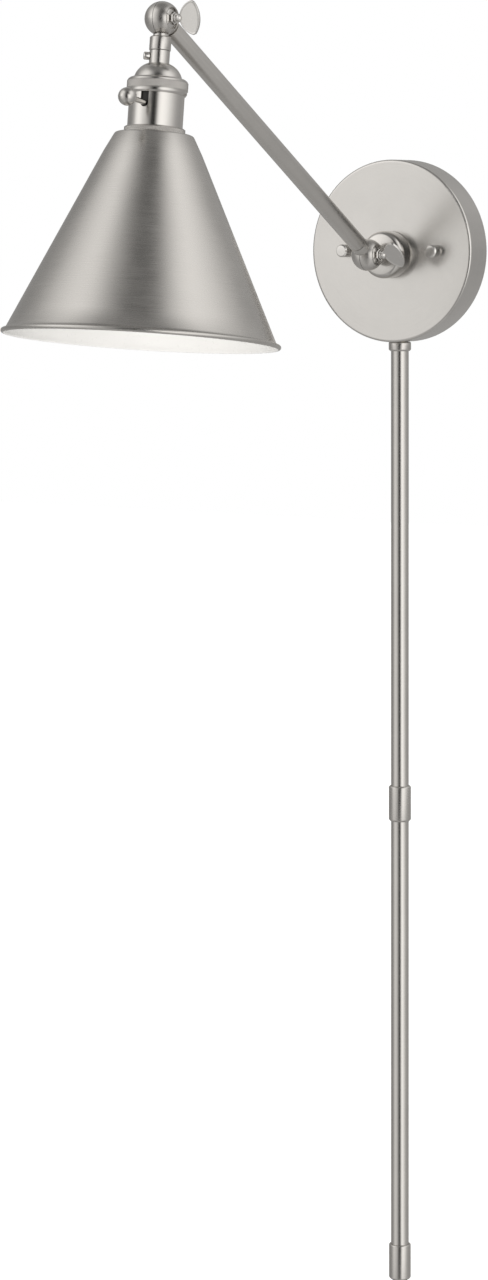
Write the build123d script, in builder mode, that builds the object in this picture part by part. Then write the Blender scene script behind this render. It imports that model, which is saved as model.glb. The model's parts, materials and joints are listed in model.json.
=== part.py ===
from build123d import *
from math import cos, radians, sin
import os

# Plug-in pharmacy-style wall lamp. Millimetres; +Z is up, +X is right and the wall is the plane Y = 0.
# The origin is the centre of the wall plate, in the wall's plane. The lamp stands out along -Y.

# ---- Driving dimensions ----
PLATE_DIAMETER = 127.0
PLATE_DEPTH = 22.8
PLATE_WALL = 1.2
PLATE_EDGE_RADIUS = 1.8
STUD_SPACING = 71.2
BOX_SCREW_SPACING = 88.9

HUB_Z = -2.5
HUB_DIAMETER = 33.0
HUB_FRONT = 38.0
LOWER_BALL_OUT = 54.5

BALL_RADIUS = 11.0
BALL_FLAT = 8.0
ARM_LENGTH = 296.0
ARM_ELEVATION = 30.45
ARM_TUBE_RADIUS = 6.0
ARM_TUBE_BORE = 5.0

HEAD_TILT = 6.75
SHELL_RADIUS = 17.4
SHADE_TOP = 73.3
SHADE_RIM = 203.3
SHADE_RADIUS = 87.4
KNOB_AZIMUTH = 8.0
SET_SCREW_AZIMUTH = -50.0

CORD_OUT = 9.6
CORD_TUBE_RADIUS = 6.2
CORD_TUBE_BORE = 5.3
COUPLING_TOP = -373.1
COUPLING_BOTTOM = -397.9
BARREL_TOP = -692.7
BARREL_BOTTOM = -717.0

LOWER_KEY_TURN = 42.0
UPPER_KEY_TURN = 8.0

# ---- Clearances ----
SLIP = 0.05
SPLIT_GAP = 0.15
BALL_CLEARANCE = 0.4
END_GAP = 0.1

# ---- Working frames ----
PLATE_RADIUS = PLATE_DIAMETER / 2
RIGHT = Vector(1, 0, 0)
TO_WALL = Vector(0, 1, 0)
OUT = Vector(0, -1, 0)
UP = Vector(0, 0, 1)
ARM_DIR = Vector(0, -cos(radians(ARM_ELEVATION)), sin(radians(ARM_ELEVATION)))
HEAD_DOWN = Vector(0, -sin(radians(HEAD_TILT)), -cos(radians(HEAD_TILT)))
HEAD_FRONT = Vector(0, -cos(radians(HEAD_TILT)), sin(radians(HEAD_TILT)))
PLATE_CENTRE = Vector(0, 0, 0)
HUB_CENTRE = Vector(0, 0, HUB_Z)
LOWER_BALL = Vector(0, -LOWER_BALL_OUT, HUB_Z)
UPPER_BALL = LOWER_BALL + ARM_DIR * ARM_LENGTH
CORD_TOP = Vector(0, -CORD_OUT, 0)


def section(origin, direction):
    """Plane through an axis square to X: local X is the radius, local Y runs along the axis."""
    return Plane(origin=origin, x_dir=RIGHT, z_dir=RIGHT.cross(direction))


def across(origin, direction, distance):
    """Plane square to an axis, at a distance along it, with local X along the lamp's X."""
    return Plane(origin=origin + direction * distance, x_dir=RIGHT, z_dir=direction)


def pivot_plane(ball, x):
    """Plane square to a knuckle's X pivot, at x from the ball's centre."""
    return Plane(origin=ball + RIGHT * x, x_dir=UP, z_dir=RIGHT)


def head_radial(azimuth):
    """Direction square to the head's axis, turned from its front towards +X."""
    return HEAD_FRONT * cos(radians(azimuth)) + RIGHT * sin(radians(azimuth))


PLATE_AXIS = Axis(PLATE_CENTRE, OUT)
HUB_AXIS = Axis(HUB_CENTRE, OUT)
CORD_AXIS = Axis(CORD_TOP, UP)
HEAD_AXIS = Axis(UPPER_BALL, HEAD_DOWN)
PLATE_SECTION = section(PLATE_CENTRE, OUT)
HUB_SECTION = section(HUB_CENTRE, OUT)
CORD_SECTION = section(CORD_TOP, UP)
HEAD_SECTION = section(UPPER_BALL, HEAD_DOWN)

# ================= Wall plate =================

BRACKET_LENGTH = 112.0
BRACKET_WIDTH = 20.0
BRACKET_THICKNESS = 1.5
BOX_SLOT_LENGTH = 9.0
BOX_SLOT_WIDTH = 5.0
BRACKET_CENTRE_HOLE = 8.0
STUD_RADIUS = 2.0
STUD_LENGTH = 27.5
GROUND_SCREW_X = -18.0
GROUND_SCREW_RADIUS = 1.65
GROUND_HEAD_RADIUS = 3.2
GROUND_HEAD_HEIGHT = 2.0
DRIVER_SLOT = 0.9

# Steel crossbar that is screwed to the wall: two box slots, two stud holes, an earth screw hole.
with BuildPart() as mounting_bracket:
    with BuildSketch(across(PLATE_CENTRE, OUT, 0)):
        SlotOverall(BRACKET_LENGTH, BRACKET_WIDTH)
        Circle(BRACKET_CENTRE_HOLE, mode=Mode.SUBTRACT)
        with GridLocations(BOX_SCREW_SPACING, 0, 2, 1):
            SlotOverall(BOX_SLOT_LENGTH, BOX_SLOT_WIDTH, mode=Mode.SUBTRACT)
        with GridLocations(STUD_SPACING, 0, 2, 1):
            Circle(STUD_RADIUS + SLIP, mode=Mode.SUBTRACT)
        with Locations((GROUND_SCREW_X, 0)):
            Circle(GROUND_SCREW_RADIUS + SLIP, mode=Mode.SUBTRACT)
    extrude(amount=BRACKET_THICKNESS)

# Two threaded studs that carry the wall plate.
with BuildPart() as plate_studs:
    with BuildSketch(across(PLATE_CENTRE, OUT, 0)):
        with GridLocations(STUD_SPACING, 0, 2, 1):
            Circle(STUD_RADIUS)
    extrude(amount=STUD_LENGTH)

STUD_NUT_FLATS = 7.0
STUD_NUT_HEIGHT = 2.4

# Hexagon nuts that lock the studs to the crossbar.
with BuildPart() as stud_lock_nuts:
    with BuildSketch(across(PLATE_CENTRE, OUT, BRACKET_THICKNESS)):
        with GridLocations(STUD_SPACING, 0, 2, 1):
            RegularPolygon(STUD_NUT_FLATS / 2, 6, major_radius=False)
            Circle(STUD_RADIUS + SLIP, mode=Mode.SUBTRACT)
    extrude(amount=STUD_NUT_HEIGHT)

# Earth screw on the crossbar, with a slotted head.
with BuildPart() as ground_screw:
    with BuildSketch(across(PLATE_CENTRE, OUT, SLIP)):
        with Locations((GROUND_SCREW_X, 0)):
            Circle(GROUND_SCREW_RADIUS)
    extrude(amount=BRACKET_THICKNESS)
    with BuildSketch(across(PLATE_CENTRE, OUT, BRACKET_THICKNESS)):
        with Locations((GROUND_SCREW_X, 0)):
            Circle(GROUND_HEAD_RADIUS)
    extrude(amount=GROUND_HEAD_HEIGHT)
    with BuildSketch(across(PLATE_CENTRE, OUT, BRACKET_THICKNESS + GROUND_HEAD_HEIGHT)):
        with Locations((GROUND_SCREW_X, 0)):
            Rectangle(3 * GROUND_HEAD_RADIUS, DRIVER_SLOT)
    extrude(amount=-DRIVER_SLOT, mode=Mode.SUBTRACT)

STUD_HOLE_RADIUS = 2.2
HUB_SPIGOT_RADIUS = 7.5
NIPPLE_RADIUS = 4.0
NIPPLE_BORE = 3.0
NIPPLE_TOP = -57.0

# Round pressed pan that covers the crossbar and the wiring.
with BuildPart() as backplate:
    with BuildSketch(PLATE_SECTION):
        with BuildLine():
            rim = Line((PLATE_RADIUS - PLATE_WALL, 0), (PLATE_RADIUS, 0))
            side = Line(rim @ 1, (PLATE_RADIUS, PLATE_DEPTH - PLATE_EDGE_RADIUS))
            edge = TangentArc(
                side @ 1,
                (PLATE_RADIUS - PLATE_EDGE_RADIUS, PLATE_DEPTH),
                tangent=side % 1,
            )
            Polyline(
                edge @ 1,
                (0, PLATE_DEPTH),
                (0, PLATE_DEPTH - PLATE_WALL),
                (PLATE_RADIUS - PLATE_EDGE_RADIUS, PLATE_DEPTH - PLATE_WALL),
                (PLATE_RADIUS - PLATE_WALL, PLATE_DEPTH - PLATE_EDGE_RADIUS),
                rim @ 0,
            )
        make_face()
    revolve(axis=PLATE_AXIS)
    with BuildSketch(across(HUB_CENTRE, OUT, 0)):
        Circle(HUB_SPIGOT_RADIUS + SLIP)
    extrude(amount=PLATE_DEPTH, mode=Mode.SUBTRACT)
    with BuildSketch(across(PLATE_CENTRE, OUT, 0)):
        with GridLocations(STUD_SPACING, 0, 2, 1):
            Circle(STUD_HOLE_RADIUS)
    extrude(amount=PLATE_DEPTH, mode=Mode.SUBTRACT)
    with BuildSketch(across(CORD_TOP, UP, NIPPLE_TOP)):
        Circle(NIPPLE_RADIUS + SLIP)
    extrude(amount=-2 * NIPPLE_RADIUS, mode=Mode.SUBTRACT)

CAP_NUT_RADIUS = 4.5
CAP_NUT_FRONT = PLATE_DEPTH + 7.5
CAP_NUT_HOLE_DEPTH = 5.2
CAP_NUT_BEVEL = 0.9
CAP_NUT_FOOT_STEP = 0.6
CAP_NUT_FOOT_HEIGHT = 0.8

# Two round cap nuts on the studs, with a bevelled front and a narrow foot.
with BuildPart() as cap_nuts:
    for x in (-STUD_SPACING / 2, STUD_SPACING / 2):
        with BuildSketch(section(Vector(x, 0, 0), OUT)):
            with BuildLine():
                Polyline(
                    (0, CAP_NUT_FRONT),
                    (CAP_NUT_RADIUS - CAP_NUT_BEVEL, CAP_NUT_FRONT),
                    (CAP_NUT_RADIUS, CAP_NUT_FRONT - CAP_NUT_BEVEL),
                    (CAP_NUT_RADIUS, PLATE_DEPTH + CAP_NUT_FOOT_HEIGHT + CAP_NUT_FOOT_STEP),
                    (CAP_NUT_RADIUS - CAP_NUT_FOOT_STEP, PLATE_DEPTH + CAP_NUT_FOOT_HEIGHT),
                    (CAP_NUT_RADIUS - CAP_NUT_FOOT_STEP, PLATE_DEPTH),
                    (STUD_RADIUS + SLIP, PLATE_DEPTH),
                    (STUD_RADIUS + SLIP, PLATE_DEPTH + CAP_NUT_HOLE_DEPTH),
                    (0, PLATE_DEPTH + CAP_NUT_HOLE_DEPTH),
                    close=True,
                )
            make_face()
        revolve(axis=Axis(Vector(x, 0, 0), OUT))

HUB_RADIUS = HUB_DIAMETER / 2
HUB_BORE = 6.0
HUB_SPIGOT_REAR = 15.0
HUB_SHOULDER = 31.5
HUB_FOOT_BEVEL = 0.8
HUB_CORNER_MIDDLE = (15.8, 34.9)
HUB_CROWN_START = (13.9, 37.1)
HUB_CROWN_MIDDLE = (10.0, 37.7)

# Turned hub: a domed boss in front of the plate and a threaded spigot through it.
with BuildPart() as hub_dome:
    with BuildSketch(HUB_SECTION):
        with BuildLine():
            bore = Polyline(
                (HUB_BORE, HUB_FRONT),
                (HUB_BORE, HUB_SPIGOT_REAR),
                (HUB_SPIGOT_RADIUS, HUB_SPIGOT_REAR),
                (HUB_SPIGOT_RADIUS, PLATE_DEPTH),
                (HUB_RADIUS - HUB_FOOT_BEVEL, PLATE_DEPTH),
                (HUB_RADIUS, PLATE_DEPTH + HUB_FOOT_BEVEL),
                (HUB_RADIUS, HUB_SHOULDER),
            )
            corner = ThreePointArc(bore @ 1, HUB_CORNER_MIDDLE, HUB_CROWN_START)
            ThreePointArc(corner @ 1, HUB_CROWN_MIDDLE, bore @ 0)
        make_face()
    revolve(axis=HUB_AXIS)

STEM_RADIUS = 5.0

# Bearing sleeve pressed into the hub.
with BuildPart() as hub_bushing:
    with BuildSketch(across(HUB_CENTRE, OUT, HUB_SPIGOT_REAR)):
        Circle(HUB_BORE - SLIP)
        Circle(STEM_RADIUS + SLIP, mode=Mode.SUBTRACT)
    extrude(amount=HUB_FRONT - HUB_SPIGOT_REAR)

HUB_NUT_FLATS = 20.0
HUB_NUT_HEIGHT = 3.0

# Thin nut that holds the hub against the plate from behind.
with BuildPart() as hub_nut:
    with BuildSketch(across(HUB_CENTRE, OUT, PLATE_DEPTH - PLATE_WALL - HUB_NUT_HEIGHT)):
        RegularPolygon(HUB_NUT_FLATS / 2, 6, major_radius=False)
        Circle(HUB_SPIGOT_RADIUS + SLIP, mode=Mode.SUBTRACT)
    extrude(amount=HUB_NUT_HEIGHT)

# ================= Cord cover below the plate =================

COLLAR_RADIUS = 7.8
COLLAR_TOP = -PLATE_RADIUS
COLLAR_BOTTOM = -69.9
COLLAR_STEP = -66.1
COLLAR_BEVEL = 0.6
COLLAR_LOWER_BEVEL = 1.0

# Threaded nipple that joins the cord cover to the plate's edge.
with BuildPart() as cord_nipple:
    with BuildSketch(across(CORD_TOP, UP, COLLAR_STEP)):
        Circle(NIPPLE_RADIUS)
        Circle(NIPPLE_BORE, mode=Mode.SUBTRACT)
    extrude(amount=NIPPLE_TOP - COLLAR_STEP)

NIPPLE_NUT_FLATS = 11.0
NIPPLE_NUT_BOTTOM = -61.9
NIPPLE_NUT_HEIGHT = 2.8

# Nut on the nipple, inside the plate.
with BuildPart() as cord_nipple_nut:
    with BuildSketch(across(CORD_TOP, UP, NIPPLE_NUT_BOTTOM)):
        RegularPolygon(NIPPLE_NUT_FLATS / 2, 6, major_radius=False)
        Circle(NIPPLE_RADIUS + SLIP, mode=Mode.SUBTRACT)
    extrude(amount=NIPPLE_NUT_HEIGHT)

# Collar under the plate that takes the upper tube.
with BuildPart() as cord_collar:
    with BuildSketch(CORD_SECTION):
        with BuildLine():
            Polyline(
                (NIPPLE_RADIUS + SLIP, COLLAR_TOP),
                (COLLAR_RADIUS - COLLAR_BEVEL, COLLAR_TOP),
                (COLLAR_RADIUS, COLLAR_TOP - COLLAR_BEVEL),
                (COLLAR_RADIUS, COLLAR_BOTTOM + COLLAR_LOWER_BEVEL),
                (COLLAR_RADIUS - COLLAR_LOWER_BEVEL, COLLAR_BOTTOM),
                (CORD_TUBE_RADIUS + SLIP, COLLAR_BOTTOM),
                (CORD_TUBE_RADIUS + SLIP, COLLAR_STEP),
                (NIPPLE_RADIUS + SLIP, COLLAR_STEP),
                close=True,
            )
        make_face()
    revolve(axis=CORD_AXIS)

COUPLING_RADIUS = 7.75
COUPLING_MIDDLE = (COUPLING_TOP + COUPLING_BOTTOM) / 2
COUPLING_WEB = 0.6
COUPLING_BEVEL = 0.9
COUPLING_LOWER_BEVEL = 1.2
UPPER_TUBE_TOP = COLLAR_STEP - END_GAP
UPPER_TUBE_BOTTOM = COUPLING_MIDDLE + COUPLING_WEB / 2 + END_GAP
LOWER_TUBE_TOP = COUPLING_MIDDLE - COUPLING_WEB / 2 - END_GAP
LOWER_TUBE_BOTTOM = -703.0

# Upper length of the cord cover.
with BuildPart() as upper_cord_tube:
    with BuildSketch(across(CORD_TOP, UP, UPPER_TUBE_BOTTOM)):
        Circle(CORD_TUBE_RADIUS)
        Circle(CORD_TUBE_BORE, mode=Mode.SUBTRACT)
    extrude(amount=UPPER_TUBE_TOP - UPPER_TUBE_BOTTOM)

# Sleeve that joins the two lengths, with a thin web between the tube ends.
with BuildPart() as tube_coupling:
    with BuildSketch(CORD_SECTION):
        with BuildLine():
            Polyline(
                (CORD_TUBE_RADIUS + SLIP, COUPLING_TOP),
                (COUPLING_RADIUS - COUPLING_BEVEL, COUPLING_TOP),
                (COUPLING_RADIUS, COUPLING_TOP - COUPLING_BEVEL),
                (COUPLING_RADIUS, COUPLING_BOTTOM + COUPLING_LOWER_BEVEL),
                (COUPLING_RADIUS - COUPLING_LOWER_BEVEL, COUPLING_BOTTOM),
                (CORD_TUBE_RADIUS + SLIP, COUPLING_BOTTOM),
                (CORD_TUBE_RADIUS + SLIP, COUPLING_MIDDLE - COUPLING_WEB / 2),
                (CORD_TUBE_BORE, COUPLING_MIDDLE - COUPLING_WEB / 2),
                (CORD_TUBE_BORE, COUPLING_MIDDLE + COUPLING_WEB / 2),
                (CORD_TUBE_RADIUS + SLIP, COUPLING_MIDDLE + COUPLING_WEB / 2),
                close=True,
            )
        make_face()
    revolve(axis=CORD_AXIS)

# Lower length of the cord cover.
with BuildPart() as lower_cord_tube:
    with BuildSketch(across(CORD_TOP, UP, LOWER_TUBE_BOTTOM)):
        Circle(CORD_TUBE_RADIUS)
        Circle(CORD_TUBE_BORE, mode=Mode.SUBTRACT)
    extrude(amount=LOWER_TUBE_TOP - LOWER_TUBE_BOTTOM)

BARREL_RADIUS = 7.6
BARREL_STEP = LOWER_TUBE_BOTTOM - END_GAP
BARREL_BEVEL = 0.5
BARREL_CORNER = 1.6
GROMMET_RADIUS = 4.6
GROMMET_HEAD_RADIUS = 5.2
GROMMET_FLANGE_RADIUS = 5.6
GROMMET_FLANGE = 1.2
GROMMET_TAPER = 0.4

# End fitting of the cord cover, with a rounded lower edge.
with BuildPart() as end_barrel:
    with BuildSketch(CORD_SECTION):
        with BuildLine():
            body = Polyline(
                (GROMMET_RADIUS + SLIP, BARREL_BOTTOM),
                (GROMMET_RADIUS + SLIP, BARREL_STEP),
                (CORD_TUBE_RADIUS + SLIP, BARREL_STEP),
                (CORD_TUBE_RADIUS + SLIP, BARREL_TOP),
                (BARREL_RADIUS - BARREL_BEVEL, BARREL_TOP),
                (BARREL_RADIUS, BARREL_TOP - BARREL_BEVEL),
                (BARREL_RADIUS, BARREL_BOTTOM + BARREL_CORNER),
            )
            corner = TangentArc(body @ 1, (BARREL_RADIUS - BARREL_CORNER, BARREL_BOTTOM), tangent=body % 1)
            Line(corner @ 1, body @ 0)
        make_face()
    revolve(axis=CORD_AXIS)

# Soft bush that lines the cord's way out.
with BuildPart() as cord_outlet_grommet:
    with BuildSketch(CORD_SECTION):
        with BuildLine():
            Polyline(
                (NIPPLE_BORE, BARREL_STEP + GROMMET_FLANGE),
                (GROMMET_HEAD_RADIUS, BARREL_STEP + GROMMET_FLANGE),
                (GROMMET_HEAD_RADIUS, BARREL_STEP),
                (GROMMET_RADIUS, BARREL_STEP),
                (GROMMET_RADIUS, BARREL_BOTTOM),
                (GROMMET_FLANGE_RADIUS, BARREL_BOTTOM),
                (GROMMET_FLANGE_RADIUS - GROMMET_TAPER, BARREL_BOTTOM - GROMMET_FLANGE),
                (NIPPLE_BORE, BARREL_BOTTOM - GROMMET_FLANGE),
                close=True,
            )
        make_face()
    revolve(axis=CORD_AXIS)

# ================= Split-ball knuckles =================

KEY_SCREW_RADIUS = 2.0
KEY_SCREW_TIP = 8.0
KEY_SCREW_HOLE_END = 8.5
COUNTERBORE_RADIUS = 6.9
COUNTERBORE_FLOOR = 6.2
WIRE_GROOVE_INNER = 3.6
WIRE_GROOVE_OUTER = 7.6
WIRE_GROOVE_DEPTH = 4.6
WIRE_BORE = 1.7
WIRE_OFFSET = 2.6


def ball_point(radius, x):
    """Point at x on a circle of the given radius about the ball's centre."""
    return (x, (radius**2 - x**2) ** 0.5)


def half_ball_profile(radius, inner, outer):
    """Half-section of a ball from x = inner to x = outer, in the current sketch."""
    with BuildLine() as outline:
        middle = ball_point(radius, (inner + outer) / 2)
        arc = ThreePointArc(ball_point(radius, inner), middle, ball_point(radius, outer))
        Polyline(arc @ 1, (outer, 0), (inner, 0), arc @ 0)
    return outline.line


def knuckle(ball, stem_dir, side, stem_outline, stem_end):
    """Half of a split ball on side +1 (right) or -1 (left), with its turned stem along stem_dir."""
    own = Plane(origin=ball, x_dir=RIGHT * side, z_dir=(RIGHT * side).cross(stem_dir))
    other = Plane(origin=ball, x_dir=RIGHT * -side, z_dir=(RIGHT * -side).cross(stem_dir))
    pivot = Axis(ball, RIGHT)
    flat = BALL_FLAT if side > 0 else BALL_RADIUS
    screw_hole_end = BALL_FLAT if side > 0 else KEY_SCREW_HOLE_END
    clear_radius = BALL_RADIUS + BALL_CLEARANCE
    with BuildPart() as half:
        with BuildSketch(section(ball, stem_dir)):
            with BuildLine():
                Polyline(*stem_outline, close=True)
            make_face()
        revolve(axis=Axis(ball, stem_dir))
        # The other half turns past the stem, so the stem is hollowed to clear it.
        with BuildSketch(other):
            make_face(half_ball_profile(clear_radius, -SPLIT_GAP, clear_radius))
        revolve(axis=pivot, mode=Mode.SUBTRACT)
        with BuildSketch(own):
            make_face(half_ball_profile(BALL_RADIUS, SPLIT_GAP, flat))
        revolve(axis=pivot)
        # Screw hole, and a ring groove in which the wires pass round the screw.
        with BuildSketch(own):
            with Locations(((SPLIT_GAP + screw_hole_end) / 2, (KEY_SCREW_RADIUS + SLIP) / 2)):
                Rectangle(screw_hole_end - SPLIT_GAP, KEY_SCREW_RADIUS + SLIP)
            with Locations((WIRE_GROOVE_DEPTH / 2, (WIRE_GROOVE_INNER + WIRE_GROOVE_OUTER) / 2)):
                Rectangle(WIRE_GROOVE_DEPTH, WIRE_GROOVE_OUTER - WIRE_GROOVE_INNER)
        revolve(axis=pivot, mode=Mode.SUBTRACT)
        if side > 0:
            with BuildSketch(pivot_plane(ball, COUNTERBORE_FLOOR)):
                Circle(COUNTERBORE_RADIUS)
            extrude(amount=BALL_RADIUS, mode=Mode.SUBTRACT)
        with BuildSketch(across(ball, stem_dir, WIRE_GROOVE_OUTER - 1)):
            with Locations((side * WIRE_OFFSET, 0)):
                Circle(WIRE_BORE)
        extrude(amount=stem_end, mode=Mode.SUBTRACT)
    return half


WASHER_RADIUS = 6.5
WASHER_EDGE = 0.4
WASHER_HEIGHT = 1.4
WASHER_CROWN_MIDDLE = (7.25, 5.2)
WASHER_CROWN_RADIUS = 3.8
NUT_FLATS = 7.3
NUT_HEIGHT = 2.4
EDGE_BREAK = 0.35
FRICTION_WASHER_THICKNESS = 0.2
FRICTION_WASHER_HOLE = 2.3


def pivot_section(ball):
    """Plane through a knuckle's pivot: local X runs along the pivot, local Y is the radius."""
    return Plane(origin=ball, x_dir=RIGHT, z_dir=RIGHT.cross(UP))


def friction_washer(ball):
    """Thin fibre washer between the two halves of a knuckle."""
    with BuildPart() as ring:
        with BuildSketch(pivot_plane(ball, -FRICTION_WASHER_THICKNESS / 2)):
            Circle(WIRE_GROOVE_INNER)
            Circle(FRICTION_WASHER_HOLE, mode=Mode.SUBTRACT)
        extrude(amount=FRICTION_WASHER_THICKNESS)
    return ring


def domed_washer(ball):
    """Washer in a knuckle's counterbore, domed up towards the screw."""
    hole = KEY_SCREW_RADIUS + SLIP
    crown_x = COUNTERBORE_FLOOR + WASHER_HEIGHT
    with BuildPart() as ring:
        with BuildSketch(pivot_section(ball)):
            with BuildLine():
                foot = Polyline(
                    (COUNTERBORE_FLOOR, hole),
                    (COUNTERBORE_FLOOR, WASHER_RADIUS),
                    (COUNTERBORE_FLOOR + WASHER_EDGE, WASHER_RADIUS),
                )
                dome = ThreePointArc(foot @ 1, WASHER_CROWN_MIDDLE, (crown_x, WASHER_CROWN_RADIUS))
                Polyline(dome @ 1, (crown_x, hole), foot @ 0)
            make_face()
        revolve(axis=Axis(ball, RIGHT))
    return ring


def knuckle_hex_nut(ball):
    """Hexagon nut on the domed washer of a knuckle's right half."""
    with BuildPart() as nut:
        with BuildSketch(pivot_plane(ball, COUNTERBORE_FLOOR + WASHER_HEIGHT)):
            RegularPolygon(NUT_FLATS / 2, 6, major_radius=False)
            Circle(KEY_SCREW_RADIUS + SLIP, mode=Mode.SUBTRACT)
        extrude(amount=NUT_HEIGHT)
        chamfer(nut.faces().sort_by(Axis.X)[-1].outer_wire().edges(), length=EDGE_BREAK)
    return nut


KEY_PADDLE_ROOT = (13.4, 1.4)
KEY_PADDLE_FLANK = (17.0, 7.7)
KEY_PADDLE_SHOULDER = (22.9, 10.9)
KEY_PADDLE_CORNER = (24.4, 10.4)
KEY_PADDLE_END = 28.3
KEY_THICKNESS = 1.8
KEY_SCREW_POINT = 0.5
KEY_STEM_START = 10.2
KEY_STEM_OUTLINE = [
    (10.2, 2.9),
    (11.2, 2.9),
    (11.5, 2.0),
    (12.0, 2.0),
    (12.6, 2.6),
    (13.8, 2.6),
    (14.8, 1.6),
    (15.2, 0),
]


def below(point):
    """Mirror image of a sketch point in the local X axis."""
    return (point[0], -point[1])


def thumb_key(ball, turn):
    """Clamping screw with a leaf-shaped thumb paddle, turned about the pivot from upright."""
    paddle_up = Vector(0, -sin(radians(turn)), cos(radians(turn)))
    paddle_plane = Plane(origin=ball, x_dir=RIGHT, z_dir=RIGHT.cross(paddle_up))
    with BuildPart() as key:
        with BuildSketch(paddle_plane):
            with BuildLine():
                Line(below(KEY_PADDLE_ROOT), KEY_PADDLE_ROOT)
                ThreePointArc(KEY_PADDLE_ROOT, KEY_PADDLE_FLANK, KEY_PADDLE_SHOULDER)
                Line(KEY_PADDLE_SHOULDER, KEY_PADDLE_CORNER)
                ThreePointArc(KEY_PADDLE_CORNER, (KEY_PADDLE_END, 0), below(KEY_PADDLE_CORNER))
                Line(below(KEY_PADDLE_CORNER), below(KEY_PADDLE_SHOULDER))
                ThreePointArc(below(KEY_PADDLE_SHOULDER), below(KEY_PADDLE_FLANK), below(KEY_PADDLE_ROOT))
            make_face()
        extrude(amount=KEY_THICKNESS / 2, both=True)
        chamfer(key.faces().filter_by(paddle_plane).edges(), length=EDGE_BREAK)
        # Collar, neck and bead between the nut and the paddle, and the screw through both halves.
        with BuildSketch(pivot_section(ball)):
            with BuildLine():
                Polyline(
                    (-KEY_SCREW_TIP, 0),
                    (-KEY_SCREW_TIP, KEY_SCREW_RADIUS - KEY_SCREW_POINT),
                    (-KEY_SCREW_TIP + KEY_SCREW_POINT, KEY_SCREW_RADIUS),
                    (KEY_STEM_START, KEY_SCREW_RADIUS),
                    *KEY_STEM_OUTLINE,
                    close=True,
                )
            make_face()
        revolve(axis=Axis(ball, RIGHT))
    return key


# ---- Hub stem, which swivels in the hub ----

STEM_SHOULDER_THICKNESS = 1.5
STEM_SHOULDER_REAR = LOWER_BALL_OUT - HUB_FRONT - END_GAP
STEM_SHOULDER_FRONT = STEM_SHOULDER_REAR - STEM_SHOULDER_THICKNESS
STEM_SHOULDER_RADIUS = 6.2
STEM_END = 44.5

hub_stem = knuckle(
    LOWER_BALL,
    TO_WALL,
    -1,
    [
        (0, 0),
        (STEM_RADIUS, 0),
        (STEM_RADIUS, STEM_SHOULDER_FRONT),
        (STEM_SHOULDER_RADIUS, STEM_SHOULDER_FRONT),
        (STEM_SHOULDER_RADIUS, STEM_SHOULDER_REAR),
        (STEM_RADIUS, STEM_SHOULDER_REAR),
        (STEM_RADIUS, STEM_END),
        (0, STEM_END),
    ],
    STEM_END,
)

STEM_WASHER_REAR = 14.0
STEM_WASHER_THICKNESS = 0.9
STEM_WASHER_RADIUS = 8.0
STEM_NUT_HEIGHT = 3.4
STEM_NUT_FLATS = 15.0

# Spring washer between the hub and the stem's nut, which sets the swivel's drag.
with BuildPart() as stem_washer:
    with BuildSketch(across(HUB_CENTRE, OUT, STEM_WASHER_REAR)):
        Circle(STEM_WASHER_RADIUS)
        Circle(STEM_RADIUS + SLIP, mode=Mode.SUBTRACT)
    extrude(amount=STEM_WASHER_THICKNESS)

# Nut that keeps the stem in the hub.
with BuildPart() as stem_nut:
    with BuildSketch(across(HUB_CENTRE, OUT, STEM_WASHER_REAR - STEM_NUT_HEIGHT)):
        RegularPolygon(STEM_NUT_FLATS / 2, 6, major_radius=False)
        Circle(STEM_RADIUS + SLIP, mode=Mode.SUBTRACT)
    extrude(amount=STEM_NUT_HEIGHT)

# ---- Arm ----

STUB_END = 15.5
SPIGOT_RADIUS = ARM_TUBE_BORE - SLIP
SPIGOT_LENGTH = 12.0
SPIGOT_END = STUB_END + SPIGOT_LENGTH
UPPER_SPIGOT_END = 24.6

arm_lower_knuckle = knuckle(
    LOWER_BALL,
    ARM_DIR,
    1,
    [
        (0, 0),
        (ARM_TUBE_RADIUS, 0),
        (ARM_TUBE_RADIUS, STUB_END),
        (SPIGOT_RADIUS, STUB_END),
        (SPIGOT_RADIUS, SPIGOT_END),
        (0, SPIGOT_END),
    ],
    SPIGOT_END,
)

arm_upper_knuckle = knuckle(
    UPPER_BALL,
    -ARM_DIR,
    -1,
    [(0, 0), (SPIGOT_RADIUS, 0), (SPIGOT_RADIUS, UPPER_SPIGOT_END), (0, UPPER_SPIGOT_END)],
    UPPER_SPIGOT_END,
)

ARM_TUBE_START = STUB_END + END_GAP
ARM_TUBE_COPE = BALL_RADIUS + 1.5

# Arm tube, bevelled where it meets the stub and coped round the upper ball.
with BuildPart() as arm_tube:
    with BuildSketch(section(LOWER_BALL, ARM_DIR)):
        with BuildLine():
            Polyline(
                (ARM_TUBE_BORE, ARM_TUBE_START),
                (ARM_TUBE_RADIUS - EDGE_BREAK, ARM_TUBE_START),
                (ARM_TUBE_RADIUS, ARM_TUBE_START + EDGE_BREAK),
                (ARM_TUBE_RADIUS, ARM_LENGTH - BALL_RADIUS / 2),
                (ARM_TUBE_BORE, ARM_LENGTH - BALL_RADIUS / 2),
                close=True,
            )
        make_face()
    revolve(axis=Axis(LOWER_BALL, ARM_DIR))
    with Locations(UPPER_BALL):
        Sphere(ARM_TUBE_COPE, mode=Mode.SUBTRACT)

LEAD_WIRE_RADIUS = 0.8
LEAD_SPACING = 1.7
LEAD_END_GAP = 0.3
LEAD_START = LOWER_BALL + ARM_DIR * (SPIGOT_END + LEAD_END_GAP) + RIGHT * WIRE_OFFSET
LEAD_END = UPPER_BALL - ARM_DIR * (UPPER_SPIGOT_END + LEAD_END_GAP) - RIGHT * WIRE_OFFSET
LEAD_DIR = (LEAD_END - LEAD_START).normalized()

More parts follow.
